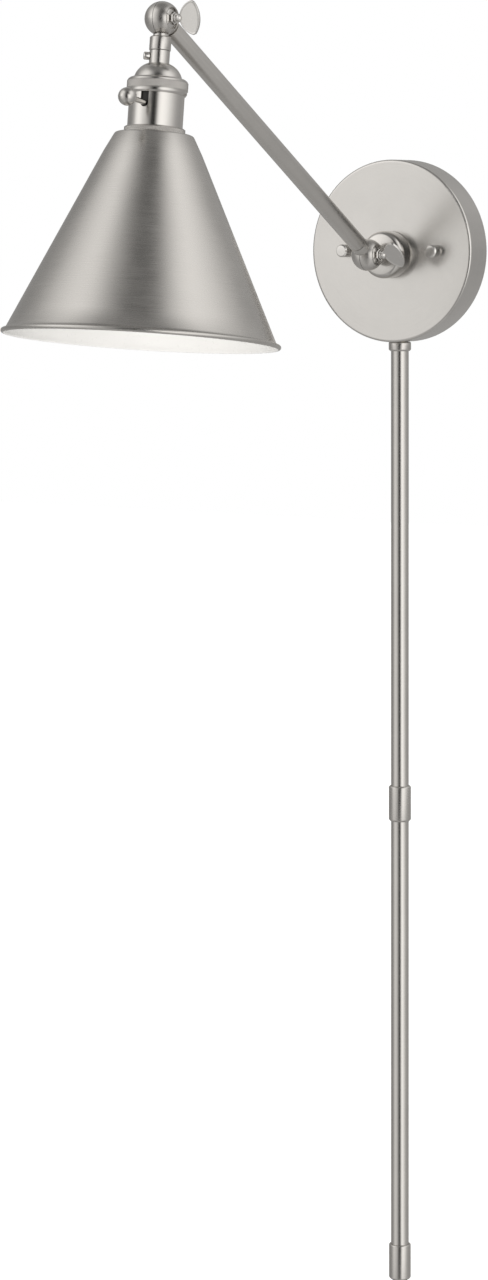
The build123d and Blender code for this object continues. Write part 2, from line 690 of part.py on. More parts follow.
# The two insulated leads, along the stretch where they run straight through the arm tube.
with BuildPart() as arm_lead_wires:
    with BuildSketch(Plane(origin=LEAD_START, x_dir=LEAD_DIR.cross(RIGHT), z_dir=LEAD_DIR)):
        with GridLocations(LEAD_SPACING, 0, 2, 1):
            Circle(LEAD_WIRE_RADIUS)
    extrude(amount=(LEAD_END - LEAD_START).length)

lower_friction_washer = friction_washer(LOWER_BALL)
upper_friction_washer = friction_washer(UPPER_BALL)
lower_knuckle_washer = domed_washer(LOWER_BALL)
upper_knuckle_washer = domed_washer(UPPER_BALL)
lower_knuckle_nut = knuckle_hex_nut(LOWER_BALL)
upper_knuckle_nut = knuckle_hex_nut(UPPER_BALL)
lower_thumb_key = thumb_key(LOWER_BALL, LOWER_KEY_TURN)
upper_thumb_key = thumb_key(UPPER_BALL, UPPER_KEY_TURN)

# ================= Head: distances run down the head's axis from the upper ball =================

SLEEVE_TOP = 11.4
SLEEVE_BOTTOM = 20.5
SLEEVE_RADIUS = 6.8
SLEEVE_TOP_BEVEL = 0.8
HEAD_SPIGOT_RADIUS = 4.9
HEAD_SPIGOT_END = 26.0

head_knuckle = knuckle(
    UPPER_BALL,
    HEAD_DOWN,
    1,
    [(0, 0), (HEAD_SPIGOT_RADIUS, 0), (HEAD_SPIGOT_RADIUS, HEAD_SPIGOT_END), (0, HEAD_SPIGOT_END)],
    HEAD_SPIGOT_END,
)

# Plain sleeve between the knuckle and the socket cap.
with BuildPart() as head_sleeve:
    with BuildSketch(HEAD_SECTION):
        with BuildLine():
            Polyline(
                (HEAD_SPIGOT_RADIUS + SLIP, SLEEVE_TOP),
                (SLEEVE_RADIUS - SLEEVE_TOP_BEVEL, SLEEVE_TOP),
                (SLEEVE_RADIUS, SLEEVE_TOP + SLEEVE_TOP_BEVEL),
                (SLEEVE_RADIUS, SLEEVE_BOTTOM - EDGE_BREAK),
                (SLEEVE_RADIUS - EDGE_BREAK, SLEEVE_BOTTOM),
                (HEAD_SPIGOT_RADIUS + SLIP, SLEEVE_BOTTOM),
                close=True,
            )
        make_face()
    revolve(axis=HEAD_AXIS)

CAP_NECK_RADIUS = 6.4
CAP_NECK_TOP = SLEEVE_BOTTOM + END_GAP
CAP_DOME_TOP = 28.6
CAP_DOME_MIDDLE = (11.9, 32.0)
CAP_DOME_RADIUS = 15.1
CAP_DOME_BOTTOM = 37.8
CAP_INNER_TOP = 29.6
CAP_INNER_MIDDLE = (10.9, 32.9)
CAP_INNER_RADIUS = 13.8
CAP_FLANGE_RADIUS = 17.3
CAP_FLANGE_TOP = 39.3
CAP_FLANGE_BOTTOM = 41.0
SET_SCREW_S = 24.2
SET_SCREW_SHANK = 1.5
SET_SCREW_SHANK_LENGTH = 1.8
SET_SCREW_HEAD = 2.5
SET_SCREW_HEAD_HEIGHT = 3.5
SET_SCREW_BEVEL = 0.5

# Domed socket cap with its neck and the flange that the knurled collar pulls down.
with BuildPart() as socket_cap:
    with BuildSketch(HEAD_SECTION):
        with BuildLine():
            neck = Polyline(
                (HEAD_SPIGOT_RADIUS + SLIP, CAP_NECK_TOP),
                (CAP_NECK_RADIUS, CAP_NECK_TOP),
                (CAP_NECK_RADIUS, CAP_DOME_TOP),
            )
            dome = ThreePointArc(neck @ 1, CAP_DOME_MIDDLE, (CAP_DOME_RADIUS, CAP_DOME_BOTTOM))
            flange = Polyline(
                dome @ 1,
                (CAP_DOME_RADIUS, CAP_FLANGE_TOP),
                (CAP_FLANGE_RADIUS, CAP_FLANGE_TOP),
                (CAP_FLANGE_RADIUS, CAP_FLANGE_BOTTOM),
                (CAP_INNER_RADIUS, CAP_FLANGE_BOTTOM),
                (CAP_INNER_RADIUS, CAP_DOME_BOTTOM),
            )
            inside = ThreePointArc(flange @ 1, CAP_INNER_MIDDLE, (HEAD_SPIGOT_RADIUS + SLIP, CAP_INNER_TOP))
            Line(inside @ 1, neck @ 0)
        make_face()
    revolve(axis=HEAD_AXIS)
    with BuildSketch(across(UPPER_BALL + HEAD_DOWN * SET_SCREW_S, head_radial(SET_SCREW_AZIMUTH), 0)):
        Circle(SET_SCREW_SHANK + SLIP)
    extrude(amount=2 * CAP_NECK_RADIUS, mode=Mode.SUBTRACT)

# Slotted screw that clamps the cap's neck on the knuckle's stem.
with BuildPart() as neck_set_screw:
    screw_origin = UPPER_BALL + HEAD_DOWN * SET_SCREW_S
    screw_dir = head_radial(SET_SCREW_AZIMUTH)
    with BuildSketch(across(screw_origin, screw_dir, HEAD_SPIGOT_RADIUS + SLIP)):
        Circle(SET_SCREW_SHANK)
    extrude(amount=SET_SCREW_SHANK_LENGTH)
    with BuildSketch(across(screw_origin, screw_dir, CAP_NECK_RADIUS + END_GAP)):
        Circle(SET_SCREW_HEAD)
    extrude(amount=SET_SCREW_HEAD_HEIGHT)
    chamfer(neck_set_screw.edges().group_by(Axis(screw_origin, screw_dir))[-1], length=SET_SCREW_BEVEL)
    with BuildSketch(across(screw_origin, screw_dir, CAP_NECK_RADIUS + END_GAP + SET_SCREW_HEAD_HEIGHT)):
        Rectangle(DRIVER_SLOT, 4 * SET_SCREW_HEAD)
    extrude(amount=-DRIVER_SLOT, mode=Mode.SUBTRACT)

GRIP_SHOULDER = [(17.3, 38.5), (18.7, 39.8)]
GRIP_RADIUS = 19.3
GRIP_TOP = 40.5
GRIP_BOTTOM = 45.6
GRIP_SKIRT = [(18.8, 46.4), (18.1, 48.5)]
GRIP_BORE_TOP = CAP_DOME_RADIUS + 0.3
GRIP_END = 48.5

# Collar that screws the cap to the socket shell; its band is the knurled grip.
with BuildPart() as knurled_collar:
    with BuildSketch(HEAD_SECTION):
        with BuildLine():
            Polyline(
                (GRIP_BORE_TOP, CAP_DOME_BOTTOM + END_GAP),
                *GRIP_SHOULDER,
                (GRIP_RADIUS, GRIP_TOP),
                (GRIP_RADIUS, GRIP_BOTTOM),
                *GRIP_SKIRT,
                (SHELL_RADIUS + SLIP, GRIP_END),
                (SHELL_RADIUS + SLIP, CAP_FLANGE_TOP - END_GAP),
                (GRIP_BORE_TOP, CAP_FLANGE_TOP - END_GAP),
                close=True,
            )
        make_face()
    revolve(axis=HEAD_AXIS)

SHELL_BORE = 16.2
SHELL_TOP = CAP_FLANGE_BOTTOM + END_GAP
SHELL_BOTTOM = 69.2
KNOB_S = 55.5
NOTCH_WIDTH = 5.3
NOTCH_LENGTH = KNOB_S - SHELL_TOP + 1
KNOB_DIR = head_radial(KNOB_AZIMUTH)
KNOB_ORIGIN = UPPER_BALL + HEAD_DOWN * KNOB_S

# Socket shell with the open-topped notch for the switch knob.
with BuildPart() as socket_shell:
    with BuildSketch(across(UPPER_BALL, HEAD_DOWN, SHELL_TOP)):
        Circle(SHELL_RADIUS)
        Circle(SHELL_BORE, mode=Mode.SUBTRACT)
    extrude(amount=SHELL_BOTTOM - SHELL_TOP)
    with BuildSketch(Plane(origin=KNOB_ORIGIN, x_dir=HEAD_DOWN, z_dir=KNOB_DIR)):
        Circle(NOTCH_WIDTH / 2)
        with Locations((-NOTCH_LENGTH / 2, 0)):
            Rectangle(NOTCH_LENGTH, NOTCH_WIDTH)
    extrude(amount=SHELL_RADIUS + 1, mode=Mode.SUBTRACT)

SWITCH_TOP = 46.5
SWITCH_BOTTOM = 62.0
SWITCH_RADIUS = 15.9
KNOB_STEM_RADIUS = 1.75
KNOB_STEM_INNER = 9.0
KNOB_HOLE_INNER = 8.5
KNOB_BALL_RADIUS = 5.75
KNOB_BALL_OUT = 41.4

# Moulded rotary switch in the shell, with the radial hole for the knob's stem.
with BuildPart() as switch_block:
    with BuildSketch(across(UPPER_BALL, HEAD_DOWN, SWITCH_TOP)):
        Circle(SWITCH_RADIUS)
    extrude(amount=SWITCH_BOTTOM - SWITCH_TOP)
    with BuildSketch(across(KNOB_ORIGIN, KNOB_DIR, KNOB_HOLE_INNER)):
        Circle(KNOB_STEM_RADIUS + SLIP)
    extrude(amount=SWITCH_RADIUS, mode=Mode.SUBTRACT)

# Turn knob: a ball on a round stem.
with BuildPart() as switch_knob:
    with BuildSketch(across(KNOB_ORIGIN, KNOB_DIR, KNOB_STEM_INNER)):
        Circle(KNOB_STEM_RADIUS)
    extrude(amount=KNOB_BALL_OUT - KNOB_STEM_INNER)
    with Locations(KNOB_ORIGIN + KNOB_DIR * KNOB_BALL_OUT):
        Sphere(KNOB_BALL_RADIUS)

TERMINAL_X = 8.0
TERMINAL_HEAD = 2.5
TERMINAL_HEIGHT = 2.1

# Two terminal screws on top of the switch.
with BuildPart() as terminal_screws:
    with BuildSketch(across(UPPER_BALL, HEAD_DOWN, SWITCH_TOP - TERMINAL_HEIGHT)):
        with GridLocations(2 * TERMINAL_X, 0, 2, 1):
            Circle(TERMINAL_HEAD)
    extrude(amount=TERMINAL_HEIGHT)
    with BuildSketch(across(UPPER_BALL, HEAD_DOWN, SWITCH_TOP - TERMINAL_HEIGHT)):
        with GridLocations(2 * TERMINAL_X, 0, 2, 1):
            Rectangle(DRIVER_SLOT, 3 * TERMINAL_HEAD)
    extrude(amount=DRIVER_SLOT, mode=Mode.SUBTRACT)

HOLDER_TOP = SWITCH_BOTTOM + END_GAP
HOLDER_FLOOR = 64.5
HOLDER_BOTTOM = 90.0
HOLDER_BORE = 14.3
SCREW_SHELL_RADIUS = 14.2
SCREW_SHELL_BORE = 13.6
SCREW_SHELL_END = 89.0
SCREW_SHELL_EYE = 7.0
SCREW_SHELL_FLOOR = HOLDER_FLOOR + 0.6

# Insulating lampholder sleeve that carries the shade and the screw shell.
with BuildPart() as lampholder_sleeve:
    with BuildSketch(HEAD_SECTION):
        with BuildLine():
            Polyline(
                (0, HOLDER_TOP),
                (SWITCH_RADIUS, HOLDER_TOP),
                (SWITCH_RADIUS, HOLDER_BOTTOM),
                (HOLDER_BORE, HOLDER_BOTTOM),
                (HOLDER_BORE, HOLDER_FLOOR),
                (0, HOLDER_FLOOR),
                close=True,
            )
        make_face()
    revolve(axis=HEAD_AXIS)

# Brass screw shell that takes the bulb's cap.
with BuildPart() as screw_shell:
    with BuildSketch(HEAD_SECTION):
        with BuildLine():
            Polyline(
                (SCREW_SHELL_EYE, HOLDER_FLOOR),
                (SCREW_SHELL_RADIUS, HOLDER_FLOOR),
                (SCREW_SHELL_RADIUS, SCREW_SHELL_END),
                (SCREW_SHELL_BORE, SCREW_SHELL_END),
                (SCREW_SHELL_BORE, SCREW_SHELL_FLOOR),
                (SCREW_SHELL_EYE, SCREW_SHELL_FLOOR),
                close=True,
            )
        make_face()
    revolve(axis=HEAD_AXIS)

CONTACT_RADIUS = 5.0
CONTACT_EDGE = 65.2
CONTACT_TIP_RADIUS = 2.5
CONTACT_TIP = 66.7

# Centre contact under the bulb.
with BuildPart() as centre_contact:
    with BuildSketch(HEAD_SECTION):
        with BuildLine():
            Polyline(
                (0, HOLDER_FLOOR),
                (CONTACT_RADIUS, HOLDER_FLOOR),
                (CONTACT_RADIUS, CONTACT_EDGE),
                (CONTACT_TIP_RADIUS, CONTACT_TIP),
                (0, CONTACT_TIP),
                close=True,
            )
        make_face()
    revolve(axis=HEAD_AXIS)

BULB_CONTACT = 66.8
BULB_CONE = [(4.0, 66.8), (5.0, 68.4), (11.5, 70.4)]
BULB_BASE_TOP = 71.8
BULB_BASE_RADIUS = 13.1
BULB_BASE_BOTTOM = 93.0
BULB_NECK_RADIUS = 13.5
BULB_FLANK = [(16.4, 108.0), (25.2, 126.0)]
BULB_GLOBE_RADIUS = 30.0
BULB_GLOBE_CENTRE = 143.0
BULB_GLASS = 1.0

# Bulb cap: contact button, insulating cone and threaded sleeve.
with BuildPart() as bulb_base:
    with BuildSketch(HEAD_SECTION):
        with BuildLine():
            Polyline(
                (0, BULB_CONTACT),
                *BULB_CONE,
                (BULB_BASE_RADIUS, BULB_BASE_TOP),
                (BULB_BASE_RADIUS, BULB_BASE_BOTTOM),
                (0, BULB_BASE_BOTTOM),
                close=True,
            )
        make_face()
    revolve(axis=HEAD_AXIS)


def bulb_profile(inset):
    """Half-section of the bulb's glass, drawn in by the given amount."""
    radius = BULB_GLOBE_RADIUS - inset
    top = BULB_BASE_BOTTOM + END_GAP + inset
    with BuildLine() as outline:
        flank = Spline(
            (BULB_NECK_RADIUS - inset, top),
            *[(x - inset, y) for x, y in BULB_FLANK],
            (radius, BULB_GLOBE_CENTRE),
            tangents=[(0, 1), (0, 1)],
        )
        diagonal = radius * sin(radians(45))
        end = (0, BULB_GLOBE_CENTRE + radius)
        globe = ThreePointArc(flank @ 1, (diagonal, BULB_GLOBE_CENTRE + diagonal), end)
        Polyline(globe @ 1, (0, top), flank @ 0)
    return outline.line


# Hollow glass envelope of the bulb.
with BuildPart() as bulb_envelope:
    with BuildSketch(HEAD_SECTION):
        make_face(bulb_profile(0))
        make_face(bulb_profile(BULB_GLASS), mode=Mode.SUBTRACT)
    revolve(axis=HEAD_AXIS)

SHADE_RING_RADIUS = 19.25
SHADE_RING_BORE = SWITCH_RADIUS + SLIP
SHADE_RING_TOP = SHELL_BOTTOM + END_GAP
SHADE_RING_BOTTOM = SHADE_TOP - END_GAP
SHADE_RING_BEVEL = 0.5

# Knurled ring above the shade.
with BuildPart() as shade_ring:
    with BuildSketch(HEAD_SECTION):
        with BuildLine():
            Polyline(
                (SHADE_RING_BORE, SHADE_RING_TOP),
                (SHADE_RING_RADIUS - SHADE_RING_BEVEL, SHADE_RING_TOP),
                (SHADE_RING_RADIUS, SHADE_RING_TOP + SHADE_RING_BEVEL),
                (SHADE_RING_RADIUS, SHADE_RING_BOTTOM - SHADE_RING_BEVEL),
                (SHADE_RING_RADIUS - SHADE_RING_BEVEL, SHADE_RING_BOTTOM),
                (SHADE_RING_BORE, SHADE_RING_BOTTOM),
                close=True,
            )
        make_face()
    revolve(axis=HEAD_AXIS)

SHADE_WALL = 0.9
SHADE_HOLE = SWITCH_RADIUS + 0.4
SHADE_FLAT_RADIUS = 23.2
SHADE_INNER_TOP = SHADE_TOP + SHADE_WALL
SHOULDER_MIDDLE = (25.25, 73.85)
CONE_TOP = (26.3, 75.2)
CONE_END = (84.1, 199.0)
CONE_DIR = (0.42304, 0.90612)
BEAD_RADIUS = 1.5
BEAD_CENTRE = (SHADE_RADIUS - BEAD_RADIUS, SHADE_RIM - BEAD_RADIUS)
BEAD_BACK = (BEAD_CENTRE[0] - 0.3, BEAD_CENTRE[1] - 1.47)


def inside_cone(point):
    """Point on the inner face of the shade's wall, square to a point on its outer face."""
    return (point[0] - CONE_DIR[1] * SHADE_WALL, point[1] + CONE_DIR[0] * SHADE_WALL)


def bead_point(angle):
    """Point on the bead's section, at an angle in degrees from outward towards the rim."""
    turned = radians(angle)
    return (BEAD_CENTRE[0] + BEAD_RADIUS * cos(turned), BEAD_CENTRE[1] + BEAD_RADIUS * sin(turned))


# Spun shade: flat top, tight shoulder, straight cone and a rolled bead at the rim.
with BuildPart() as shade:
    with BuildSketch(HEAD_SECTION):
        with BuildLine():
            outer_top = Line((SHADE_HOLE, SHADE_TOP), (SHADE_FLAT_RADIUS, SHADE_TOP))
            ThreePointArc(outer_top @ 1, SHOULDER_MIDDLE, CONE_TOP)
            Line(CONE_TOP, CONE_END)
            Line(CONE_END, BEAD_BACK)
            ThreePointArc(BEAD_BACK, bead_point(0), bead_point(90))
            ThreePointArc(bead_point(90), bead_point(135), bead_point(180))
            Polyline(
                bead_point(180),
                inside_cone(CONE_END),
                inside_cone(CONE_TOP),
                (SHADE_FLAT_RADIUS, SHADE_INNER_TOP),
                (SHADE_HOLE, SHADE_INNER_TOP),
                outer_top @ 0,
            )
        make_face()
    revolve(axis=HEAD_AXIS)

RETAINER_TOP = SHADE_INNER_TOP + END_GAP
RETAINER_RADIUS = 20.0
RETAINER_HEIGHT = 4.0

# Ring inside the shade that clamps it against the knurled ring.
with BuildPart() as shade_retaining_ring:
    with BuildSketch(across(UPPER_BALL, HEAD_DOWN, RETAINER_TOP)):
        Circle(RETAINER_RADIUS)
        Circle(SHADE_RING_BORE, mode=Mode.SUBTRACT)
    extrude(amount=RETAINER_HEIGHT)

# ================= Export =================

PIECES = {
    "mounting_bracket": mounting_bracket,
    "plate_studs": plate_studs,
    "stud_lock_nuts": stud_lock_nuts,
    "ground_screw": ground_screw,
    "backplate": backplate,
    "cap_nuts": cap_nuts,
    "hub_dome": hub_dome,
    "hub_bushing": hub_bushing,
    "hub_nut": hub_nut,
    "cord_nipple": cord_nipple,
    "cord_nipple_nut": cord_nipple_nut,
    "cord_collar": cord_collar,
    "upper_cord_tube": upper_cord_tube,
    "tube_coupling": tube_coupling,
    "lower_cord_tube": lower_cord_tube,
    "end_barrel": end_barrel,
    "cord_outlet_grommet": cord_outlet_grommet,
    "hub_stem": hub_stem,
    "stem_washer": stem_washer,
    "stem_nut": stem_nut,
    "lower_friction_washer": lower_friction_washer,
    "arm_lower_knuckle": arm_lower_knuckle,
    "lower_knuckle_washer": lower_knuckle_washer,
    "lower_knuckle_nut": lower_knuckle_nut,
    "arm_tube": arm_tube,
    "arm_lead_wires": arm_lead_wires,
    "arm_upper_knuckle": arm_upper_knuckle,
    "upper_friction_washer": upper_friction_washer,
    "head_knuckle": head_knuckle,
    "upper_knuckle_washer": upper_knuckle_washer,
    "upper_knuckle_nut": upper_knuckle_nut,
    "head_sleeve": head_sleeve,
    "socket_cap": socket_cap,
    "neck_set_screw": neck_set_screw,
    "knurled_collar": knurled_collar,
    "socket_shell": socket_shell,
    "switch_block": switch_block,
    "terminal_screws": terminal_screws,
    "lampholder_sleeve": lampholder_sleeve,
    "screw_shell": screw_shell,
    "centre_contact": centre_contact,
    "bulb_base": bulb_base,
    "bulb_envelope": bulb_envelope,
    "shade_ring": shade_ring,
    "shade": shade,
    "shade_retaining_ring": shade_retaining_ring,
    "switch_knob": switch_knob,
    "lower_thumb_key": lower_thumb_key,
    "upper_thumb_key": upper_thumb_key,
}

os.makedirs("parts", exist_ok=True)
for name, piece in PIECES.items():
    piece.part.label = name
    export_step(piece.part, f"parts/{name}.step")
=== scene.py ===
import json
from math import cos, floor as whole, radians, sin, tau

import bmesh
import bpy
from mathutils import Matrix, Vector


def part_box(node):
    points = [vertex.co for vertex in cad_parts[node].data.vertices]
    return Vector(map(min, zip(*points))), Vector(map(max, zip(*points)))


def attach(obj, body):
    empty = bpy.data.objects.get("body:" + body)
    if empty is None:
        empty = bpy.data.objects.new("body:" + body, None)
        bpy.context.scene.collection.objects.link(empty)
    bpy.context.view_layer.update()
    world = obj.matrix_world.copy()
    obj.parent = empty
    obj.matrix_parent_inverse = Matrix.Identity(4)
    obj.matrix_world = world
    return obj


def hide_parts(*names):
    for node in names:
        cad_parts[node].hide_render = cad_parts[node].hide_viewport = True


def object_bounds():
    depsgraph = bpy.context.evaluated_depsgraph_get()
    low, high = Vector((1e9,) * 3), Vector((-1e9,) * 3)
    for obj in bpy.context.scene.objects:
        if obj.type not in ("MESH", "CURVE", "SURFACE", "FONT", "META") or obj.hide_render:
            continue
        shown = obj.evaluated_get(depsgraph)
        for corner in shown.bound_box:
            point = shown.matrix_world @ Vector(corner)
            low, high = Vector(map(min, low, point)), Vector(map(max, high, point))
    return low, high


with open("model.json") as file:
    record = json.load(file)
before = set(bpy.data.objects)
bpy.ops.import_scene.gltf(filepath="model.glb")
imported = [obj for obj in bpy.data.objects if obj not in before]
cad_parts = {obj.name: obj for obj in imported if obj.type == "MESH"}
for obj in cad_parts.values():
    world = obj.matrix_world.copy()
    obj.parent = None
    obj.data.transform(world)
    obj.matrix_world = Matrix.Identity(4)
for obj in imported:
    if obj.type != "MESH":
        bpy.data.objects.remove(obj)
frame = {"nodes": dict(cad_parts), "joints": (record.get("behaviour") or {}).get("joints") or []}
cad_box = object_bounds()

MM = 0.001
NODES = frame["nodes"]
JOINTS = {joint["name"]: joint for joint in frame["joints"]}


# ==================== Axes of the lamp, from the frame ====================


class Axis:
    """A line through the lamp, with two directions square to it from which angles are counted."""

    def __init__(self, origin, along, start):
        self.origin = Vector(origin)
        self.along = Vector(along).normalized()
        across = Vector(start)
        self.start = (across - self.along * across.dot(self.along)).normalized()
        self.side = self.along.cross(self.start)

    def at(self, radius, distance, angle=0.0):
        """The point at a radius and a distance along the axis, both in millimetres."""
        radial = self.start * cos(angle) + self.side * sin(angle)
        return self.origin + (radial * radius + self.along * distance) * MM


def joint_point(name):
    return Vector(JOINTS[name]["pos_m"])


def box_middle(name):
    low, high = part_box(name)
    return (low + high) / 2


RIGHT = Vector((1, 0, 0))
OUT = Vector((0, -1, 0))
UP = Vector((0, 0, 1))
LOWER_BALL = joint_point("arm_tilt")
UPPER_BALL = joint_point("shade_tilt")
KNOB_OUT = Vector(JOINTS["switch_turn"]["axis"])
HEAD_FRONT = Vector((0, KNOB_OUT.y, KNOB_OUT.z)).normalized()
HEAD_DOWN = Vector((0, -HEAD_FRONT.z, HEAD_FRONT.y))

PLATE_AXIS = Axis((0, 0, 0), OUT, RIGHT)
HUB_AXIS = Axis((0, 0, LOWER_BALL.z), OUT, RIGHT)
CORD_AXIS = Axis((0, box_middle("upper_cord_tube").y, 0), UP, RIGHT)
ARM_AXIS = Axis(LOWER_BALL, UPPER_BALL - LOWER_BALL, RIGHT)
HEAD_AXIS = Axis(UPPER_BALL, HEAD_DOWN, RIGHT)
KNOB_AXIS = Axis(joint_point("switch_turn"), KNOB_OUT, UP)
LOWER_PIVOT = Axis(LOWER_BALL, RIGHT, UP)
UPPER_PIVOT = Axis(UPPER_BALL, RIGHT, UP)


# ==================== Camera, light and floor ====================


CAMERA_PLACE = (1.2414, -2.1789, 0.0188)
CAMERA_TURN = 32.27
CAMERA_LENS = 100.61
SENSOR_WIDTH = 36.0
CAMERA_SHIFT = (-0.0003, -0.3251)
FAR_CLIP = 20.0


def make_camera():
    """The camera stands level, in front and to the right, with its lens shifted down the cord cover."""
    data = bpy.data.cameras.new("camera")
    data.lens = CAMERA_LENS
    data.sensor_width = SENSOR_WIDTH
    data.shift_x, data.shift_y = CAMERA_SHIFT
    data.clip_end = FAR_CLIP
    camera = bpy.data.objects.new("camera", data)
    bpy.context.scene.collection.objects.link(camera)
    camera.location = CAMERA_PLACE
    camera.rotation_euler = (radians(90), 0, radians(CAMERA_TURN))
    bpy.context.scene.camera = camera


class Graph:
    """Small helper that adds shader nodes and joins them."""

    def __init__(self, tree):
        self.tree = tree

    def add(self, kind, *inputs, **settings):
        node = self.tree.nodes.new(kind)
        for key, value in settings.items():
            setattr(node, key, value)
        for socket, value in zip(node.inputs, inputs):
            self.put(socket, value)
        return node

    def put(self, socket, value):
        if isinstance(value, bpy.types.NodeSocket):
            self.tree.links.new(value, socket)
        elif value is not None:
            socket.default_value = value

    def math(self, operation, *inputs):
        return self.add("ShaderNodeMath", *inputs, operation=operation).outputs[0]

    def vector(self, operation, *inputs, scale=None):
        node = self.add("ShaderNodeVectorMath", *inputs, operation=operation)
        if scale is not None:
            self.put(node.inputs["Scale"], scale)
        return node.outputs["Value" if operation in ("DOT_PRODUCT", "LENGTH") else "Vector"]

    def remap(self, value, from_low, from_high, to_low=0.0, to_high=1.0, smooth=False):
        style = "SMOOTHSTEP" if smooth else "LINEAR"
        limits = (from_low, from_high, to_low, to_high)
        return self.add("ShaderNodeMapRange", value, *limits, interpolation_type=style).outputs[0]

    def mix(self, share, first, second):
        node = self.tree.nodes.new("ShaderNodeMix")
        node.data_type = "RGBA"
        self.put(node.inputs["Factor"], share)
        self.put(node.inputs["A"], first)
        self.put(node.inputs["B"], second)
        return node.outputs["Result"]


# Brightness of the studio round the lamp at three heights, as soft upright panels with a dark gap
# between them. Angles are in degrees about the upright, from straight out of the wall towards +X.
LOW_RING = [
    (-180, 0.42),
    (-112, 0.32),
    (-84, 0.30),
    (-66, 0.38),
    (-53, 0.60),
    (-41, 0.86),
    (-26, 0.92),
    (-12, 0.78),
    (-1, 0.60),
    (8, 0.32),
    (15, 0.10),
    (21, 0.0),
    (33, 0.0),
    (39, 0.30),
    (44, 0.95),
    (50, 1.40),
    (58, 1.50),
    (74, 1.30),
    (88, 0.95),
    (103, 0.60),
    (122, 0.44),
    (150, 0.38),
    (180, 0.42),
]
MIDDLE_RING = [
    (-180, 0.42),
    (-112, 0.30),
    (-86, 0.30),
    (-66, 0.58),
    (-54, 1.25),
    (-42, 1.45),
    (-31, 1.25),
    (-20, 0.95),
    (-6, 0.72),
    (6, 0.42),
    (14, 0.12),
    (20, 0.0),
    (31, 0.0),
    (37, 0.30),
    (43, 1.05),
    (50, 1.45),
    (60, 1.50),
    (76, 1.35),
    (92, 1.10),
    (110, 0.82),
    (128, 0.56),
    (150, 0.42),
    (180, 0.42),
]
HIGH_RING = [
    (-180, 0.44),
    (-120, 0.42),
    (-96, 0.50),
    (-76, 0.80),
    (-58, 1.05),
    (-42, 1.18),
    (-30, 1.14),
    (-16, 0.88),
    (0, 0.50),
    (12, 0.24),
    (22, 0.08),
    (42, 0.06),
    (52, 0.12),
    (60, 0.32),
    (68, 0.66),
    (77, 0.96),
    (88, 1.16),
    (104, 1.22),
    (120, 1.05),
    (138, 0.78),
    (158, 0.56),
    (180, 0.44),
]
BRIGHTEST = 2.0
CEILING_LIGHT = 0.24
FLOOR_LIGHT = 0.42
FLOOR_SHARE = 0.75

# Heights on the unit sphere of directions between which one brightness turns into the next.
LOW_TO_MIDDLE = (-0.04, 0.16)
MIDDLE_TO_HIGH = (0.22, 0.62)
HIGH_TO_CEILING = (0.76, 0.97)
LOW_TO_FLOOR = (-0.14, -0.6)
STUDIO_TINT = (1.0, 0.985, 0.965, 1)


def studio_ring(graph, turn, ring):
    """Brightness by direction: the turn runs from 0 to 1 once round the upright."""
    ramp = graph.add("ShaderNodeValToRGB", turn)
    stops = ramp.color_ramp.elements
    while len(stops) > 1:
        stops.remove(stops[-1])
    stops[0].position = 0.0
    for angle, _ in ring[1:]:
        stops.new((angle + 180) / 360)
    for stop, (_, level) in zip(stops, ring):
        share = level / BRIGHTEST
        stop.color = (share, share, share, 1)
    return graph.math("MULTIPLY", ramp.outputs["Color"], BRIGHTEST)


def fade_between(graph, height, reach, first, second, share=1.0):
    """The first brightness before a reach of heights, the second past it, and a smooth change between."""
    return graph.remap(graph.remap(height, *reach, 0.0, share, smooth=True), 0.0, 1.0, first, second)


def make_studio():
    """White to the eye, and soft upright panels with a dark gap between them to the metal."""
    world = bpy.data.worlds.new("studio")
    bpy.context.scene.world = world
    world.use_nodes = True
    world.node_tree.nodes.clear()
    graph = Graph(world.node_tree)
    direction = graph.add("ShaderNodeTexCoord").outputs["Generated"]
    split = graph.add("ShaderNodeSeparateXYZ", direction)
    outward = graph.math("MULTIPLY", split.outputs["Y"], -1.0)
    azimuth = graph.math("ARCTAN2", split.outputs["X"], outward)
    turn = graph.remap(azimuth, radians(-180), radians(180))
    height = split.outputs["Z"]
    low, middle, high = [studio_ring(graph, turn, ring) for ring in (LOW_RING, MIDDLE_RING, HIGH_RING)]
    level = fade_between(graph, height, LOW_TO_MIDDLE, low, middle)
    level = fade_between(graph, height, MIDDLE_TO_HIGH, level, high)
    level = fade_between(graph, height, HIGH_TO_CEILING, level, CEILING_LIGHT)
    level = fade_between(graph, height, LOW_TO_FLOOR, level, FLOOR_LIGHT, FLOOR_SHARE)
    seen = graph.add("ShaderNodeBackground", (1, 1, 1, 1), 1.0)
    lit = graph.add("ShaderNodeBackground", STUDIO_TINT, level)
    straight = graph.add("ShaderNodeLightPath").outputs["Is Camera Ray"]
    both = graph.add("ShaderNodeMixShader", straight, lit.outputs[0], seen.outputs[0])
    graph.add("ShaderNodeOutputWorld", both.outputs[0])


FILL_PLACE = Vector((0.1, -1.1, -0.8))
FILL_TARGET = UPPER_BALL + HEAD_DOWN * 0.15
FILL_SIZE = 0.9
FILL_POWER = 7.5
FILL_COLOUR = (1.0, 0.985, 0.96)


def make_fill_light():
    """A soft light from below that reaches the white inside of the shade and doesn't show in the metal."""
    data = bpy.data.lights.new("fill", "AREA")
    data.shape = "DISK"
    data.size = FILL_SIZE
    data.energy = FILL_POWER
    data.color = FILL_COLOUR
    light = bpy.data.objects.new("fill", data)
    bpy.context.scene.collection.objects.link(light)
    light.location = FILL_PLACE
    light.rotation_mode = "QUATERNION"
    light.rotation_quaternion = (FILL_TARGET - FILL_PLACE).to_track_quat("-Z", "Y")
    light.visible_glossy = False
    light.visible_camera = False


FLOOR_REACH = 6.0
FLOOR_DROP = 0.05
FLOOR_WHITE = (0.9, 0.9, 0.9, 1)
FLOOR_GLOW = 0.75


